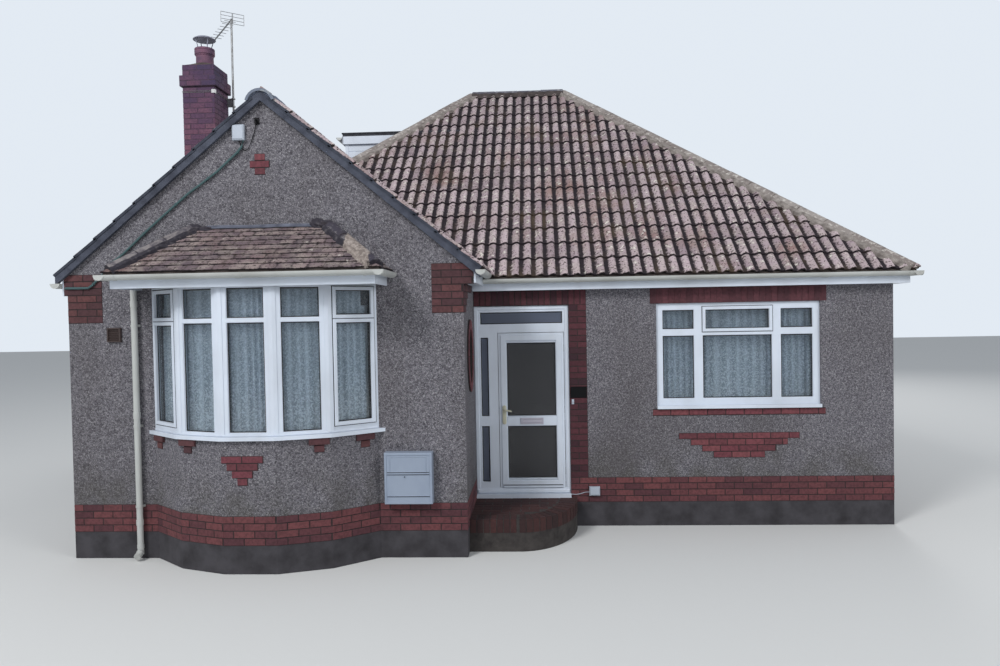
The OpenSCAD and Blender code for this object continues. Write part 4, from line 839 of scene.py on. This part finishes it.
# Height of the openings' lower edge, and depth of the frames' faces in them
WIN_Z, DEEP = 1.502, 0.03
window((2.275, DEEP, WIN_Z), X, -Y, 2.0, 1)
window((JOG_X + 3.3, REAR - DEEP, WIN_Z), -X, Y, 2.0, 1)
window((RIGHT - 1.3, REAR - DEEP, WIN_Z), -X, Y, 2.0, 1)
window((RIGHT - DEEP, 3.2, WIN_Z), Y, X, 1.3, 0)
posts = Shape()
for i, (at, d, out) in enumerate(zip(BAY, ALONG, FACING)):
    a, b = (0.07 if i == 0 else 0.085), FACET - (0.07 if i == 4 else 0.085)
    opens = i in (0, 4)
    z = (1.551, 2.622, 2.697, 2.97) if opens else (1.481, 2.6395, 2.6795, 3.005)
    for k in (0, 2):
        light(at, d, out, a, z[k], b, z[k + 1], opens)
    for end, s in ((0.0, 1), (FACET, -1)):
        if (i, s) not in ((0, 1), (4, -1)):
            posts.box(at + d * (end - s * 0.004) + Z * 1.452, d * (s * 0.046), Z * 1.568, out * 0.007, 0.003)
    posts.box(at + Z * 1.446 + d * 0.012, d * (FACET - 0.024), Z * 0.022, out * 0.010, 0.004)
posts.make("bay_posts", "white_plastic")

# Front door: raised leaf, weather bar with a dark strip above it as painted shadow, letter plate, handles,
# beads of its panes and its frame's trim
leaf, door_beads, door_lines, letter, handles, trim = (Shape() for _ in range(6))
face = V((0, DEEP, 0))
leaf.frame(face, X, -Y, 0.303, 0.477, 1.123, 2.433,
           [(0, 0), (0, 0.004), (0.026, 0.004), (0.030, 0.014), (0.092, 0.014), (0.099, 0.002),
            (0.099, -0.02), (0.09, -0.02), (0.085, 0.0)])
leaf.block(0.40, 0.032, 1.268, 0.626, 0.114, 0.014, 0.004)
leaf.block(0.335, 0.018, 0.483, 0.756, 0.022, 0.012, 0.005)
leaf.make("leaf_profile", "white_plastic", "front_door")
for pane in ((0.402, 0.596, 1.024, 1.265), (0.402, 1.385, 1.024, 2.314)):
    door_beads.frame(face, X, -Y, *pane, [(-0.006, 0.012), (0.0, 0.010), (0.006, -0.014), (0.006, -0.0228),
                                          (-0.006, -0.0228)])
    door_lines.frame(face, X, -Y, *pane, GASKET_AND_SHADE)
# A dark strip above the weather bar: painted shadow of the bar
door_lines.block(0.335, 0.0262, 0.509, 0.756, 0.012, 0.0107, 0.001)
door_beads.make("leaf_beads", "white_plastic", "front_door")
door_lines.make("leaf_rubber_and_shadow", "gasket_and_shade", "front_door")
letter.frame((0.568, 0.018, 1.285), X, -Y, 0, 0, 0.29, 0.08,
             [(0, 0), (0, 0.006), (0.004, 0.010), (0.014, 0.010), (0.016, 0.004), (0.016, 0)])
letter.block(0.588, 0.0175, 1.303, 0.25, 0.044, 0.006, 0.003)
letter.make("letter_plate", "letter_metal", "front_door", smooth=True)
for pane in ((0.074, 0.551, 0.179, 1.265), (0.074, 1.385, 0.179, 2.385), (0.074, 2.546, 1.116, 2.702)):
    light(face, X, -Y, *pane)
PLATE_R, PLATE_L = 0.025, 0.214
for y, out in ((0.018, -Y), (0.090, Y)):
    foot = V((0.367, y, 1.286))
    rim = [(PLATE_R * sin(t), (PLATE_L if cos(t) > 0 else PLATE_R) + PLATE_R * cos(t))
           for t in (radians(k) for k in range(0, 360, 20))]
    handles.sweep([[foot + X * x + Z * z for x, z in rim],
                   [foot + X * x + Z * z + out * 0.010 for x, z in rim],
                   [foot + X * x * 0.8 + Z * (0.117 + (z - 0.117) * 0.96) + out * 0.014 for x, z in rim]])
    for z, r in ((0.065, 0.010), (0.018, 0.004), (0.222, 0.004)):
        handles.tube([foot + Z * z + out * 0.012, foot + Z * z + out * 0.0165], r, 16)
    lever = ((0, 0.010, 0, 0.011), (0, 0.036, 0, 0.010), (0.006, 0.046, 0, 0.011), (0.030, 0.050, 0, 0.0115),
             (0.062, 0.050, 0.006, 0.011), (0.092, 0.047, 0.014, 0.008))
    handles.tube([foot + Z * (0.180 - drop) + out * far + X * x for x, far, drop, _ in lever],
                 [r for *_, r in lever], 16)
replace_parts(handles.make("lever_handles", "pale_brass", "front_door", smooth=True), "door_handle")
trim.frame(face, X, -Y, 0.004, 0.431, 1.186, 2.772,
           [(0, 0), (0, 0.006), (0.004, 0.010), (0.040, 0.010), (0.046, 0.004), (0.046, 0)])
trim.block(0.01, 0.03, 0.412, 1.17, 0.05, 0.028, 0.012)
trim.make("door_frame_profile", "white_plastic")

# Dormer: boards, corner trims, the edges of its roof, its gutter and the lights of its window
boards = Shape()
for r in range(8):
    z = DZ - 0.012 - 0.1 * (r + 1)
    reach = (z + 0.1 - EAVES) / RISE + EM
    if reach < DX + 0.02:
        continue
    beside = DZ - 0.49 < z < DZ - 0.06
    for y, w in ((0, 0.22), (DW - 0.22, 0.22)) if beside else ((0, DW),):
        boards.box((DX, DY + y, z), Y * w, Z * 0.1, -X * 0.010, 0.007)
    for y, out in ((DY, -Y), (DY + DW, Y)):
        boards.box((DX - 0.004, y, z), X * (reach - DX + 0.05), Z * 0.1, out * 0.010, 0.007)
for y, s in ((DY, 1), (DY + DW, -1)):
    boards.box((DX - 0.016, y - s * 0.016, 4.86), Y * (s * 0.05), Z * (DZ - 4.862), X * 0.050, 0.002)
boards.make("dormer_boards", "white_plastic")
for name, mat, z, high, grow, thick, chamfer in (
        ("dormer_fascia", "white_plastic", DZ - 0.10, 0.125, 0.056, 0.018, 0.003),
        ("dormer_roof_edge", "roof_felt", DZ + 0.066, 0.018, 0.062, 0.04, 0.004)):
    edge = Shape()
    edge.box((DX - grow, DY - grow, z), Y * (DW + 2 * grow), Z * high, X * thick, chamfer)
    for y in (DY - grow, DY + DW + grow - thick):
        edge.box((DX - 0.05, y, z), X * 1.1, Z * high, Y * thick, chamfer)
    edge.make(name, mat)
small_gutter = Shape()
gutter_at, gutter_l = V((DX - 0.106, DY + DW / 2, DZ + 0.01)), DW + 0.12
small_gutter.band(gutter_at, Y, 0.046, gutter_l, thick=0.002)
for s in (-1, 1):
    end = arc(gutter_at + Y * (s * gutter_l / 2), X, Z, 0.047, range(180, 361, 15))
    small_gutter.slab(end, -Y * (s * 0.004))
small_gutter.make("dormer_gutter", "gutter_plastic", smooth=True)
pane_w = 0.66
for y in (DY + 0.31, DY + 0.37 + pane_w):
    o = V((DX, y + pane_w, DZ - 0.38))
    beads.frame(o, -Y, -X, 0, 0, pane_w, 0.26, DORMER_BEAD)
    lines.frame(o, -Y, -X, 0, 0, pane_w, 0.26, DORMER_LINE)
beads.make("window_beads", "white_plastic")
lines.make("window_rubber_and_shade", "gasket_and_shade")
sashes.make("window_sashes", "white_plastic")

# Net curtains, gathered on thin wires behind the glass
wires = Shape()


def net(name, path, z0=1.53, z1=2.735, fold=0.085, deep=0.014, scallop=0.010, corner=0.05, rows=16):
    """One gathered net along a plan path."""
    path = [V((x, y, 0)) for x, y in path]
    lengths = [(b - a).length for a, b in zip(path, path[1:])]
    normals = [(b - a).normalized().cross(Z) for a, b in zip(path, path[1:])]
    total = sum(lengths)
    count = int(total / 0.0085)
    phase, pts = rng.uniform(0, 6), []
    for i in range(count + 1):
        s = rest = total * i / count
        k = 0
        while k < len(lengths) - 1 and rest > lengths[k]:
            rest -= lengths[k]
            k += 1
        n = normals[k]
        for far, other in ((rest, k - 1), (lengths[k] - rest, k + 1)):
            if far < corner and 0 <= other < len(lengths):
                share = far / corner / 2
                n = (normals[k] * (0.5 + share) + normals[other] * (0.5 - share)).normalized()
        phase += 2 * pi * total / count / fold * (1 + 0.35 * sin(s * 5.1) + 0.2 * sin(s * 13.7))
        wave = deep * (sin(phase) + 0.35 * sin(phase * 0.43 + 1))
        pts.append((path[k].lerp(path[k + 1], rest / lengths[k]), n, wave, s))
    verts, faces, fold_shading = [], [], []
    for r in range(rows + 1):
        f = r / rows
        # Lightness per point from each gather's depth, for the painted light and shade of the gathers
        fold_shading += [0.5 - wave / deep / 2.7 for _, _, wave, _ in pts]
        for at, n, wave, s in pts:
            z = z1 + (z0 - z1) * f + (scallop * abs(sin(s * pi / 0.07)) if r == rows else 0)
            verts.append(at + n * (wave * (0.75 + 0.25 * f)) + Z * z)
    m = count + 1
    for r in range(rows):
        faces += [(r * m + j, r * m + j + 1, (r + 1) * m + j + 1, (r + 1) * m + j) for j in range(count)]
    sheet = Shape()
    sheet.add(verts, faces, fold_shading)
    obj = sheet.make(name, "net_curtain", smooth=True, crest=True)
    wires.tube([p + Z * (z1 - 0.004) for p in path], 0.0035)


inner_bay = []
for i in range(6):
    a, b = ALONG[min(i, 4)], ALONG[max(i - 1, 0)]
    n = (a + b).normalized()
    inner_bay.append(BAY[i] + V((-n.y, n.x, 0)) * (0.105 / a.dot(n)))
net("bay_net", [p[:2] for p in inner_bay], 1.458, 2.985)
net("front_net", [(2.30, NET_IN), (4.25, NET_IN)])
net("rear_net_left", [(JOG_X + 3.27, REAR - NET_IN), (JOG_X + 1.33, REAR - NET_IN)])
net("rear_net_right", [(RIGHT - 1.33, REAR - NET_IN), (RIGHT - 3.27, REAR - NET_IN)])
net("side_net", [(RIGHT - NET_IN, 3.23), (RIGHT - NET_IN, 4.47)])
hooks_at = [(x, 0.1, Y) for x in (2.285, 4.262)]
hooks_at += [(x, REAR - 0.1, -Y) for x in (JOG_X + 3.285, JOG_X + 1.315, RIGHT - 1.315, RIGHT - 3.285)]
hooks_at += [(RIGHT - 0.1, y, -X) for y in (3.215, 4.485)]
for x, y, along in hooks_at:
    at = V((x, y, 2.731))
    wires.tube([at, at + along * 0.08], 0.004)
for p, q in zip(BAY, inner_bay):
    wires.tube([p + (q - p).normalized() * 0.068 + Z * 2.981, q + Z * 2.981], 0.004)
wires.make("net_wires", "white_plastic")

# End of the wing's ridge, gutter brackets, pipe sockets and clips
collar, hooks = Shape(), Shape()
collar.band((WX, VERGE - 0.008, WZ - 0.148), Y, 0.140, 0.030, range(15, 166, 15), 0.027)
collar.make("ridge_end", "wing_ridge_tile", smooth=True)
for x, y, z, d, length in (
        (0.30, -GUTTER, GZ, X, 4.95), (RIGHT + GUTTER, 0.1, GZ, Y, 7.5),
        (RIGHT - 0.1, REAR + GUTTER, GZ, -X, 9.1), (JOG_X - GUTTER, REAR - 0.1, GZ, -Y, 2.9),
        (LEFT - GUTTER + TRIM, JOG_Y - 0.1, GZ, -Y, 5.5),
        (MID - 1.3, -1.926, 3.149, X, 2.6)):
    n = int(length / 0.93)
    for i in range(n + 1):
        hooks.band(V((x, y, z)) + d * (length * i / n), d, 0.056, 0.075 if i % 3 == 1 else 0.028)
ROUND, PIPE_R = range(0, 361, 15), 0.034
pipe_at = V((MID - CAN_HALF - 0.056, -1.304, 0))
for z, width in ((2.86, 0.07), (1.62, 0.07), (0.42, 0.06)):
    hooks.band(pipe_at + Z * z, Z, PIPE_R, width, ROUND, 0.005)
for z in (2.62, 1.50, 0.60):
    hooks.band(pipe_at + Z * z, Z, PIPE_R, 0.022, ROUND, 0.006)
    hooks.box(pipe_at + V((-0.045, 0.03, z - 0.012)), X * 0.09, Z * 0.024, Y * 0.022, 0.003)
for x, side in ((RIGHT + 0.054, 1), (JOG_X - 0.054, -1)):
    for z in (2.3, 1.3, 0.4):
        hooks.band((x, REAR - 0.3, z), Z, PIPE_R, 0.03, ROUND, 0.006)
        hooks.box((x - side * 0.03, REAR - 0.345, z - 0.012), Y * 0.09, Z * 0.024, -X * side * 0.022, 0.003)
hooks.tube([pipe_at + V((0, y, z)) for y, z in ((0, 0.17), (0, 0.13), (-0.012, 0.095), (-0.04, 0.068),
                                                (-0.085, 0.052))], 0.038, 20)
hooks.make("gutter_fittings", "gutter_plastic", smooth=True)

# Flashings of lead: over the bay roof, round the stack and at the dormer's foot
lead = Shape()
wall = V((-2.85, -OUT - 0.002, CAN_TOP))
down = V((0, -1, -CRISE)).normalized() * 0.05
clear = V((0, -CRISE, 1)).normalized() * 0.004
section = [wall + Z * 0.034, wall + V((0, -0.006, 0.034)), wall + V((0, -0.008, 0.028)),
           wall + Z * 0.030 + down + clear, wall + Z * 0.024 + down, wall + Z * 0.020]
lead.sweep([[p + X * k + Z * (0.003 * sin(k * 9)) for p in section] for k in (i * 0.123 for i in range(11))])
for y, out in ((SY, -Y), (SY + SD, Y)):
    for i in range(4):
        x = SX + 0.02 + i * 0.115
        low = EAVES + (x - EL) * RISE - 0.02
        lead.box((x, y, low), X * 0.118, Z * (0.118 * RISE + 0.16), out * 0.008, 0.002)
low = EAVES + (SX + SW - EL) * RISE - 0.02
lead.box((SX + SW, SY - 0.05, low), Y * (SD + 0.10), Z * 0.19, X * 0.010, 0.003)
foot_z = EAVES + (DX - EM) * RISE
lead.box((DX, DY - 0.03, foot_z - 0.03), Y * (DW + 0.06), Z * 0.16, -X * 0.016, 0.003)
lead.box((DX, DY - 0.08, foot_z + 0.055), Y * (DW + 0.16), V((-1, 0, -RISE)).normalized() * 0.20,
         V((-RISE, 0, 1)).normalized() * 0.006, 0.002)
lead.make("lead_flashings", "lead")

# Chimney: mortar round the pot, lashing wire and its corner plates, pot and cowl
top, wire, pot, cowl = (Shape() for _ in range(4))
rings = [[], [], []]
for k in range(24):
    c, s = cos(2 * pi * k / 24), sin(2 * pi * k / 24)
    q = 1 / max(abs(c), abs(s))
    half = q * 0.5 + 0.5
    for level, (x, y, z) in zip(rings, (
            (0.236 * c * q, 0.251 * s * q, 6.499), (0.19 * c * half, 0.20 * s * half, 6.532),
            (0.122 * c, 0.122 * s, 6.575))):
        level.append(V((CX + x, CY + y, z)))
top.sweep(rings)
top.make("pot_mortar", "mortar", smooth=True)
x0, x1, y0, y1 = SX - 0.008, SX + SW + 0.008, SY - 0.008, SY + SD + 0.008
corners = ((x0, y0), (x1, y0), (x1, y1), (x0, y1), (x0, y0))
for z in (6.085, 6.105):
    for a, b in zip(corners, corners[1:]):
        wire.tube([(*a, z), (*b, z)], 0.003, 6)
wire.box((x1 + 0.003, y0 - 0.002, 6.068), -X * 0.05, Z * 0.055, -Y * 0.004, 0.001)
wire.box((x1 + 0.003, y0 - 0.004, 6.068), Y * 0.05, Z * 0.055, X * 0.004, 0.001)
wire.make("chimney_lashing", "galvanised_steel")
pot.turned((CX, CY, 0), [(0.131, 6.50), (0.127, 6.690), (0.135, 6.698), (0.135, 6.708), (0.147, 6.716),
                         (0.148, 6.768), (0.142, 6.774), (0.148, 6.782), (0.147, 6.805), (0.138, 6.811),
                         (0.112, 6.811), (0.110, 6.72)])
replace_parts(pot.make("pot", "clay", smooth=True), "chimney_pot")
cowl.turned((CX, CY, 0), [(0.118, 6.948), (0.164, 6.945), (0.168, 6.950), (0.160, 6.960), (0.120, 6.982),
                          (0.066, 7.000), (0.020, 7.007), (0.004, 7.008)])
for k in range(4):
    leg = V((cos(pi * (k + 0.5) / 2), sin(pi * (k + 0.5) / 2), 0))
    cowl.tube([V((CX, CY, z)) + leg * far for z, far in ((6.75, 0.105), (6.85, 0.107), (6.952, 0.140))],
              0.007)
cowl.make("cowl", "cowl_metal", smooth=True)

# Small things on the walls
boxes, filler, number, bracket, cable, vent = (Shape() for _ in range(6))
for spec in ((-2.519, -OUT, 4.641, 0.134, 0.172, 0.045, 0.008),
             (-2.508, -OUT - 0.04, 4.655, 0.112, 0.144, 0.010, 0.004),
             (1.415, 0, 0.386, 0.132, 0.112, 0.045, 0.006), (1.426, -0.042, 0.397, 0.110, 0.09, 0.012, 0.004),
             (1.213, 0, 1.532, 0.030, 0.062, 0.016, 0.005)):
    boxes.block(*spec)
boxes.tube([(1.228, -0.014, 1.562), (1.228, -0.022, 1.562)], 0.009, 16)
boxes.tube([(1.415, -0.02, 0.43), (1.36, -0.012, 0.425), (1.30, -0.010, 0.405), (1.25, -0.010, 0.398),
            (1.19, -0.012, 0.402)], 0.004)
boxes.make("wall_boxes", "box_plastic")
filler.block(0.001, -0.1215, 2.966, 0.1205, 0.062, 0.018, 0.002)
filler.block(0.001, -0.124, 2.966, 0.06, 0.058, -0.012, 0.002)
filler.make("eaves_filler", "white_plastic")
number.block(1.199, 0, 1.611, 0.204, 0.142, 0.012, 0.003)
for x in (1.211, 1.391):
    number.tube([(x, -0.010, 1.682), (x, -0.0145, 1.682)], 0.004, 10)
number.make("number_plate", "black_plastic")
bracket.block(-2.275, -OUT, 4.815, 0.055, 0.075, 0.010, 0.003)
bracket.tube([(x, -OUT - far, z) for x, far, z in (
    (-2.25, 0.005, 4.86), (-2.25, 0.035, 4.865), (-2.245, 0.045, 4.85), (-2.242, 0.035, 4.835),
    (-2.245, 0.02, 4.84))], 0.006)
bracket.tube([(x, -OUT - 0.012, z) for x, z in (
    (-2.248, 4.845), (-2.262, 4.78), (-2.285, 4.70), (-2.315, 4.62), (-2.345, 4.555), (-2.378, 4.53),
    (-2.41, 4.545), (-2.435, 4.59), (-2.45, 4.645))], 0.0045)
bracket.make("cable_bracket", "black_plastic")
# The clipped cable down the gable and round its corner
route = [(-2.40, 4.645), (-2.42, 4.575), (-2.465, 4.517), (-2.708, 4.304), (-2.904, 4.165), (-3.035, 4.075),
         (-3.182, 3.955), (-3.345, 3.82), (-3.556, 3.64), (-3.71, 3.50), (-3.80, 3.42), (-3.93, 3.325),
         (-4.02, 3.215), (-4.10, 3.145), (-4.15, 3.09), (-4.21, 3.05), (-4.455, 3.05)]
path = []
for (ax, az), (bx, bz) in zip(route, route[1:]):
    n = max(1, int(sqrt((bx - ax) ** 2 + (bz - az) ** 2) / 0.12))
    path += [(ax + (bx - ax) * i / n, -OUT - 0.020 - 0.002 * sin(i * 2.1), az + (bz - az) * i / n)
             for i in range(n)]
path += [(-4.455, -OUT - 0.020, 3.052), (-4.474, -OUT - 0.014, 3.052), (-4.471, -OUT + 0.03, 3.05),
         (-4.471, -OUT + 0.12, 3.045)]
cable.tube(path, 0.013)
for x, y, z in path[2:-4:3]:
    cable.block(x - 0.007, y + 0.020, z - 0.017, 0.014, 0.034, 0.036, 0.003)
cable.box((LEFT, -OUT + 0.11, 3.00), Y * 0.09, Z * 0.09, -X * 0.030, 0.006)
cable.make("clipped_cable", "green_cable")
vent.frame((-4.008, -OUT, 2.44), X, -Y, 0, 0, 0.156, 0.16,
           [(0, 0), (0, 0.03), (0.005, 0.035), (0.015, 0.035), (0.018, 0.02), (0.018, 0)])
for i in range(6):
    vent.box((-3.99, -OUT, 2.462 + i * 0.021), X * 0.12, Z * 0.014 - Y * 0.010, -Y * 0.016 - Z * 0.008, 0.001)
vent.make("vent_cover", "brown_plastic")

# Lid of the meter box
lid, grooves = Shape(), Shape()
mx, my, mz = MID + HALF + 0.072, -OUT - 0.12, 0.622
lid.frame((mx, my, mz), X, -Y, 0.002, 0.002, 0.524, 0.560,
          [(0, 0), (0, 0.004), (0.004, 0.007), (0.022, 0.007), (0.026, 0.0)])
for z in (0.085, 0.325):
    lid.block(mx + 0.028, my, mz + z, 0.470, 0.014, 0.005, 0.003)
lid.frame((mx, my, mz), X, -Y, 0.06, 0.35, 0.466, 0.52,
          [(0, 0), (0, 0.003), (0.003, 0.005), (0.008, 0.003), (0.010, 0)])
lock = V((mx + 0.225, my, mz + 0.30))
lid.tube([lock, lock - Y * 0.008], 0.014, 20)
lid.make("meter_lid_panel", "meter_plastic", "meter_door")
for z in (0.080, 0.320, 0.345):
    grooves.block(mx + 0.030, my, mz + z, 0.466, 0.005, 0.0045, 0.001)
grooves.tube([lock - Y * 0.006, lock - Y * 0.0095], 0.007, 14)
grooves.make("meter_lid_lines", "black_plastic", "meter_door")

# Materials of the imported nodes
for mat, names in {
    "pebbledash": "bay_base",
    "pebbledash_walls": "front_wall gable_wall return_wall left_wall rear_wall right_wall",
    "grey_render": "plinth",
    "dark_mortar": "brick_band door_pier door_lintel oval_surround",
    "sooty_mortar": "chimney",
    "step_concrete": "door_step",
    "roof_edge": "roof_front roof_left roof_main_left roof_jog roof_right roof_rear roof_wing bay_roof",
    "roof_felt": "dormer_roof",
    "floor_screed": "floor_slab",
    "plaster": "ceiling",
    "clay": "chimney_pot",
    "galvanised_steel": "aerial hinge_leaves",
    "gutter_plastic": "gutters downpipes bay_gutter",
    "white_plastic": "fascias bay_sill bay_frame bay_fascia window_frames window_sills door_frame door_leaf"
                     " dormer_walls",
    "meter_plastic": "meter_box meter_lid",
    "cream_metal": "door_handle",
    "glass": "bay_glass window_glass",
    "frosted_glass": "door_sidelights",
    "obscure_glass": "door_glass",
}.items():
    for name in names.split():
        nodes[name].data.materials.clear()
        nodes[name].data.materials.append(MATS[mat])

# Camera at the photograph's place, its focal length for a frame 1000 pixels wide
camera = bpy.data.cameras.new("camera")
camera.sensor_width, camera.sensor_fit, camera.lens = 36.0, "HORIZONTAL", 768.9 * 36 / 1000
camera.clip_end = 200
cam = bpy.data.objects.new("camera", camera)
scene.collection.objects.link(cam)
yaw, pitch, roll = 0.0512, 0.0241, 0.0182
ahead, right = V((-sin(yaw), cos(yaw), 0)), V((cos(yaw), sin(yaw), 0))
look = ahead * cos(pitch) - Z * sin(pitch)
up = ahead * sin(pitch) + Z * cos(pitch)
axes = Matrix((cos(roll) * right - sin(roll) * up, sin(roll) * right + cos(roll) * up, -look)).transposed()
cam.matrix_world = Matrix.Translation((0.8237, -9.6409, 2.6719)) @ axes.to_4x4()
scene.camera = cam

# Floor, lamps and sky
Mat("pale_floor", (214, 214, 212), 0.9)
floor = Shape()
floor.box((-60, -60, -0.2), X * 120, Y * 120, Z * 0.198, 0.05)
mesh = bpy.data.meshes.new("floor")
mesh.from_pydata(floor.v, [], floor.f)
mesh_object("floor", mesh, "pale_floor")
for name, at, target, size, power in (
        ("key", (-9, -14, 15), (0, 2, 2), 6, 2300), ("fill", (14, -12, 9), (0, 2, 2), 8, 900),
        ("back", (8, 20, 14), (0, 3, 3), 8, 1200)):
    lamp = bpy.data.lights.new(name, "AREA")
    lamp.shape, lamp.size, lamp.energy = "DISK", size, power
    obj = bpy.data.objects.new(name, lamp)
    aim = (V(target) - V(at)).to_track_quat("-Z", "Y").to_matrix().to_4x4()
    obj.matrix_world = Matrix.Translation(at) @ aim
    scene.collection.objects.link(obj)
scene.world = bpy.data.worlds.new("studio")
scene.world.use_nodes = True
tree = scene.world.node_tree
sky = tree.nodes["Background"]
sky.inputs["Color"].default_value = (0.80, 0.86, 0.94, 1)
sky.inputs["Strength"].default_value = 0.55
rays = tree.nodes.new("ShaderNodeLightPath")
seen = tree.nodes.new("ShaderNodeBackground")
seen.inputs["Color"].default_value = (*rgb((226, 234, 243)), 1)
join = tree.nodes.new("ShaderNodeMixShader")
tree.links.new(rays.outputs["Is Camera Ray"], join.inputs[0])
tree.links.new(sky.outputs[0], join.inputs[1])
tree.links.new(seen.outputs[0], join.inputs[2])
tree.links.new(join.outputs[0], tree.nodes["World Output"].inputs["Surface"])
scene.view_settings.view_transform = "Standard"
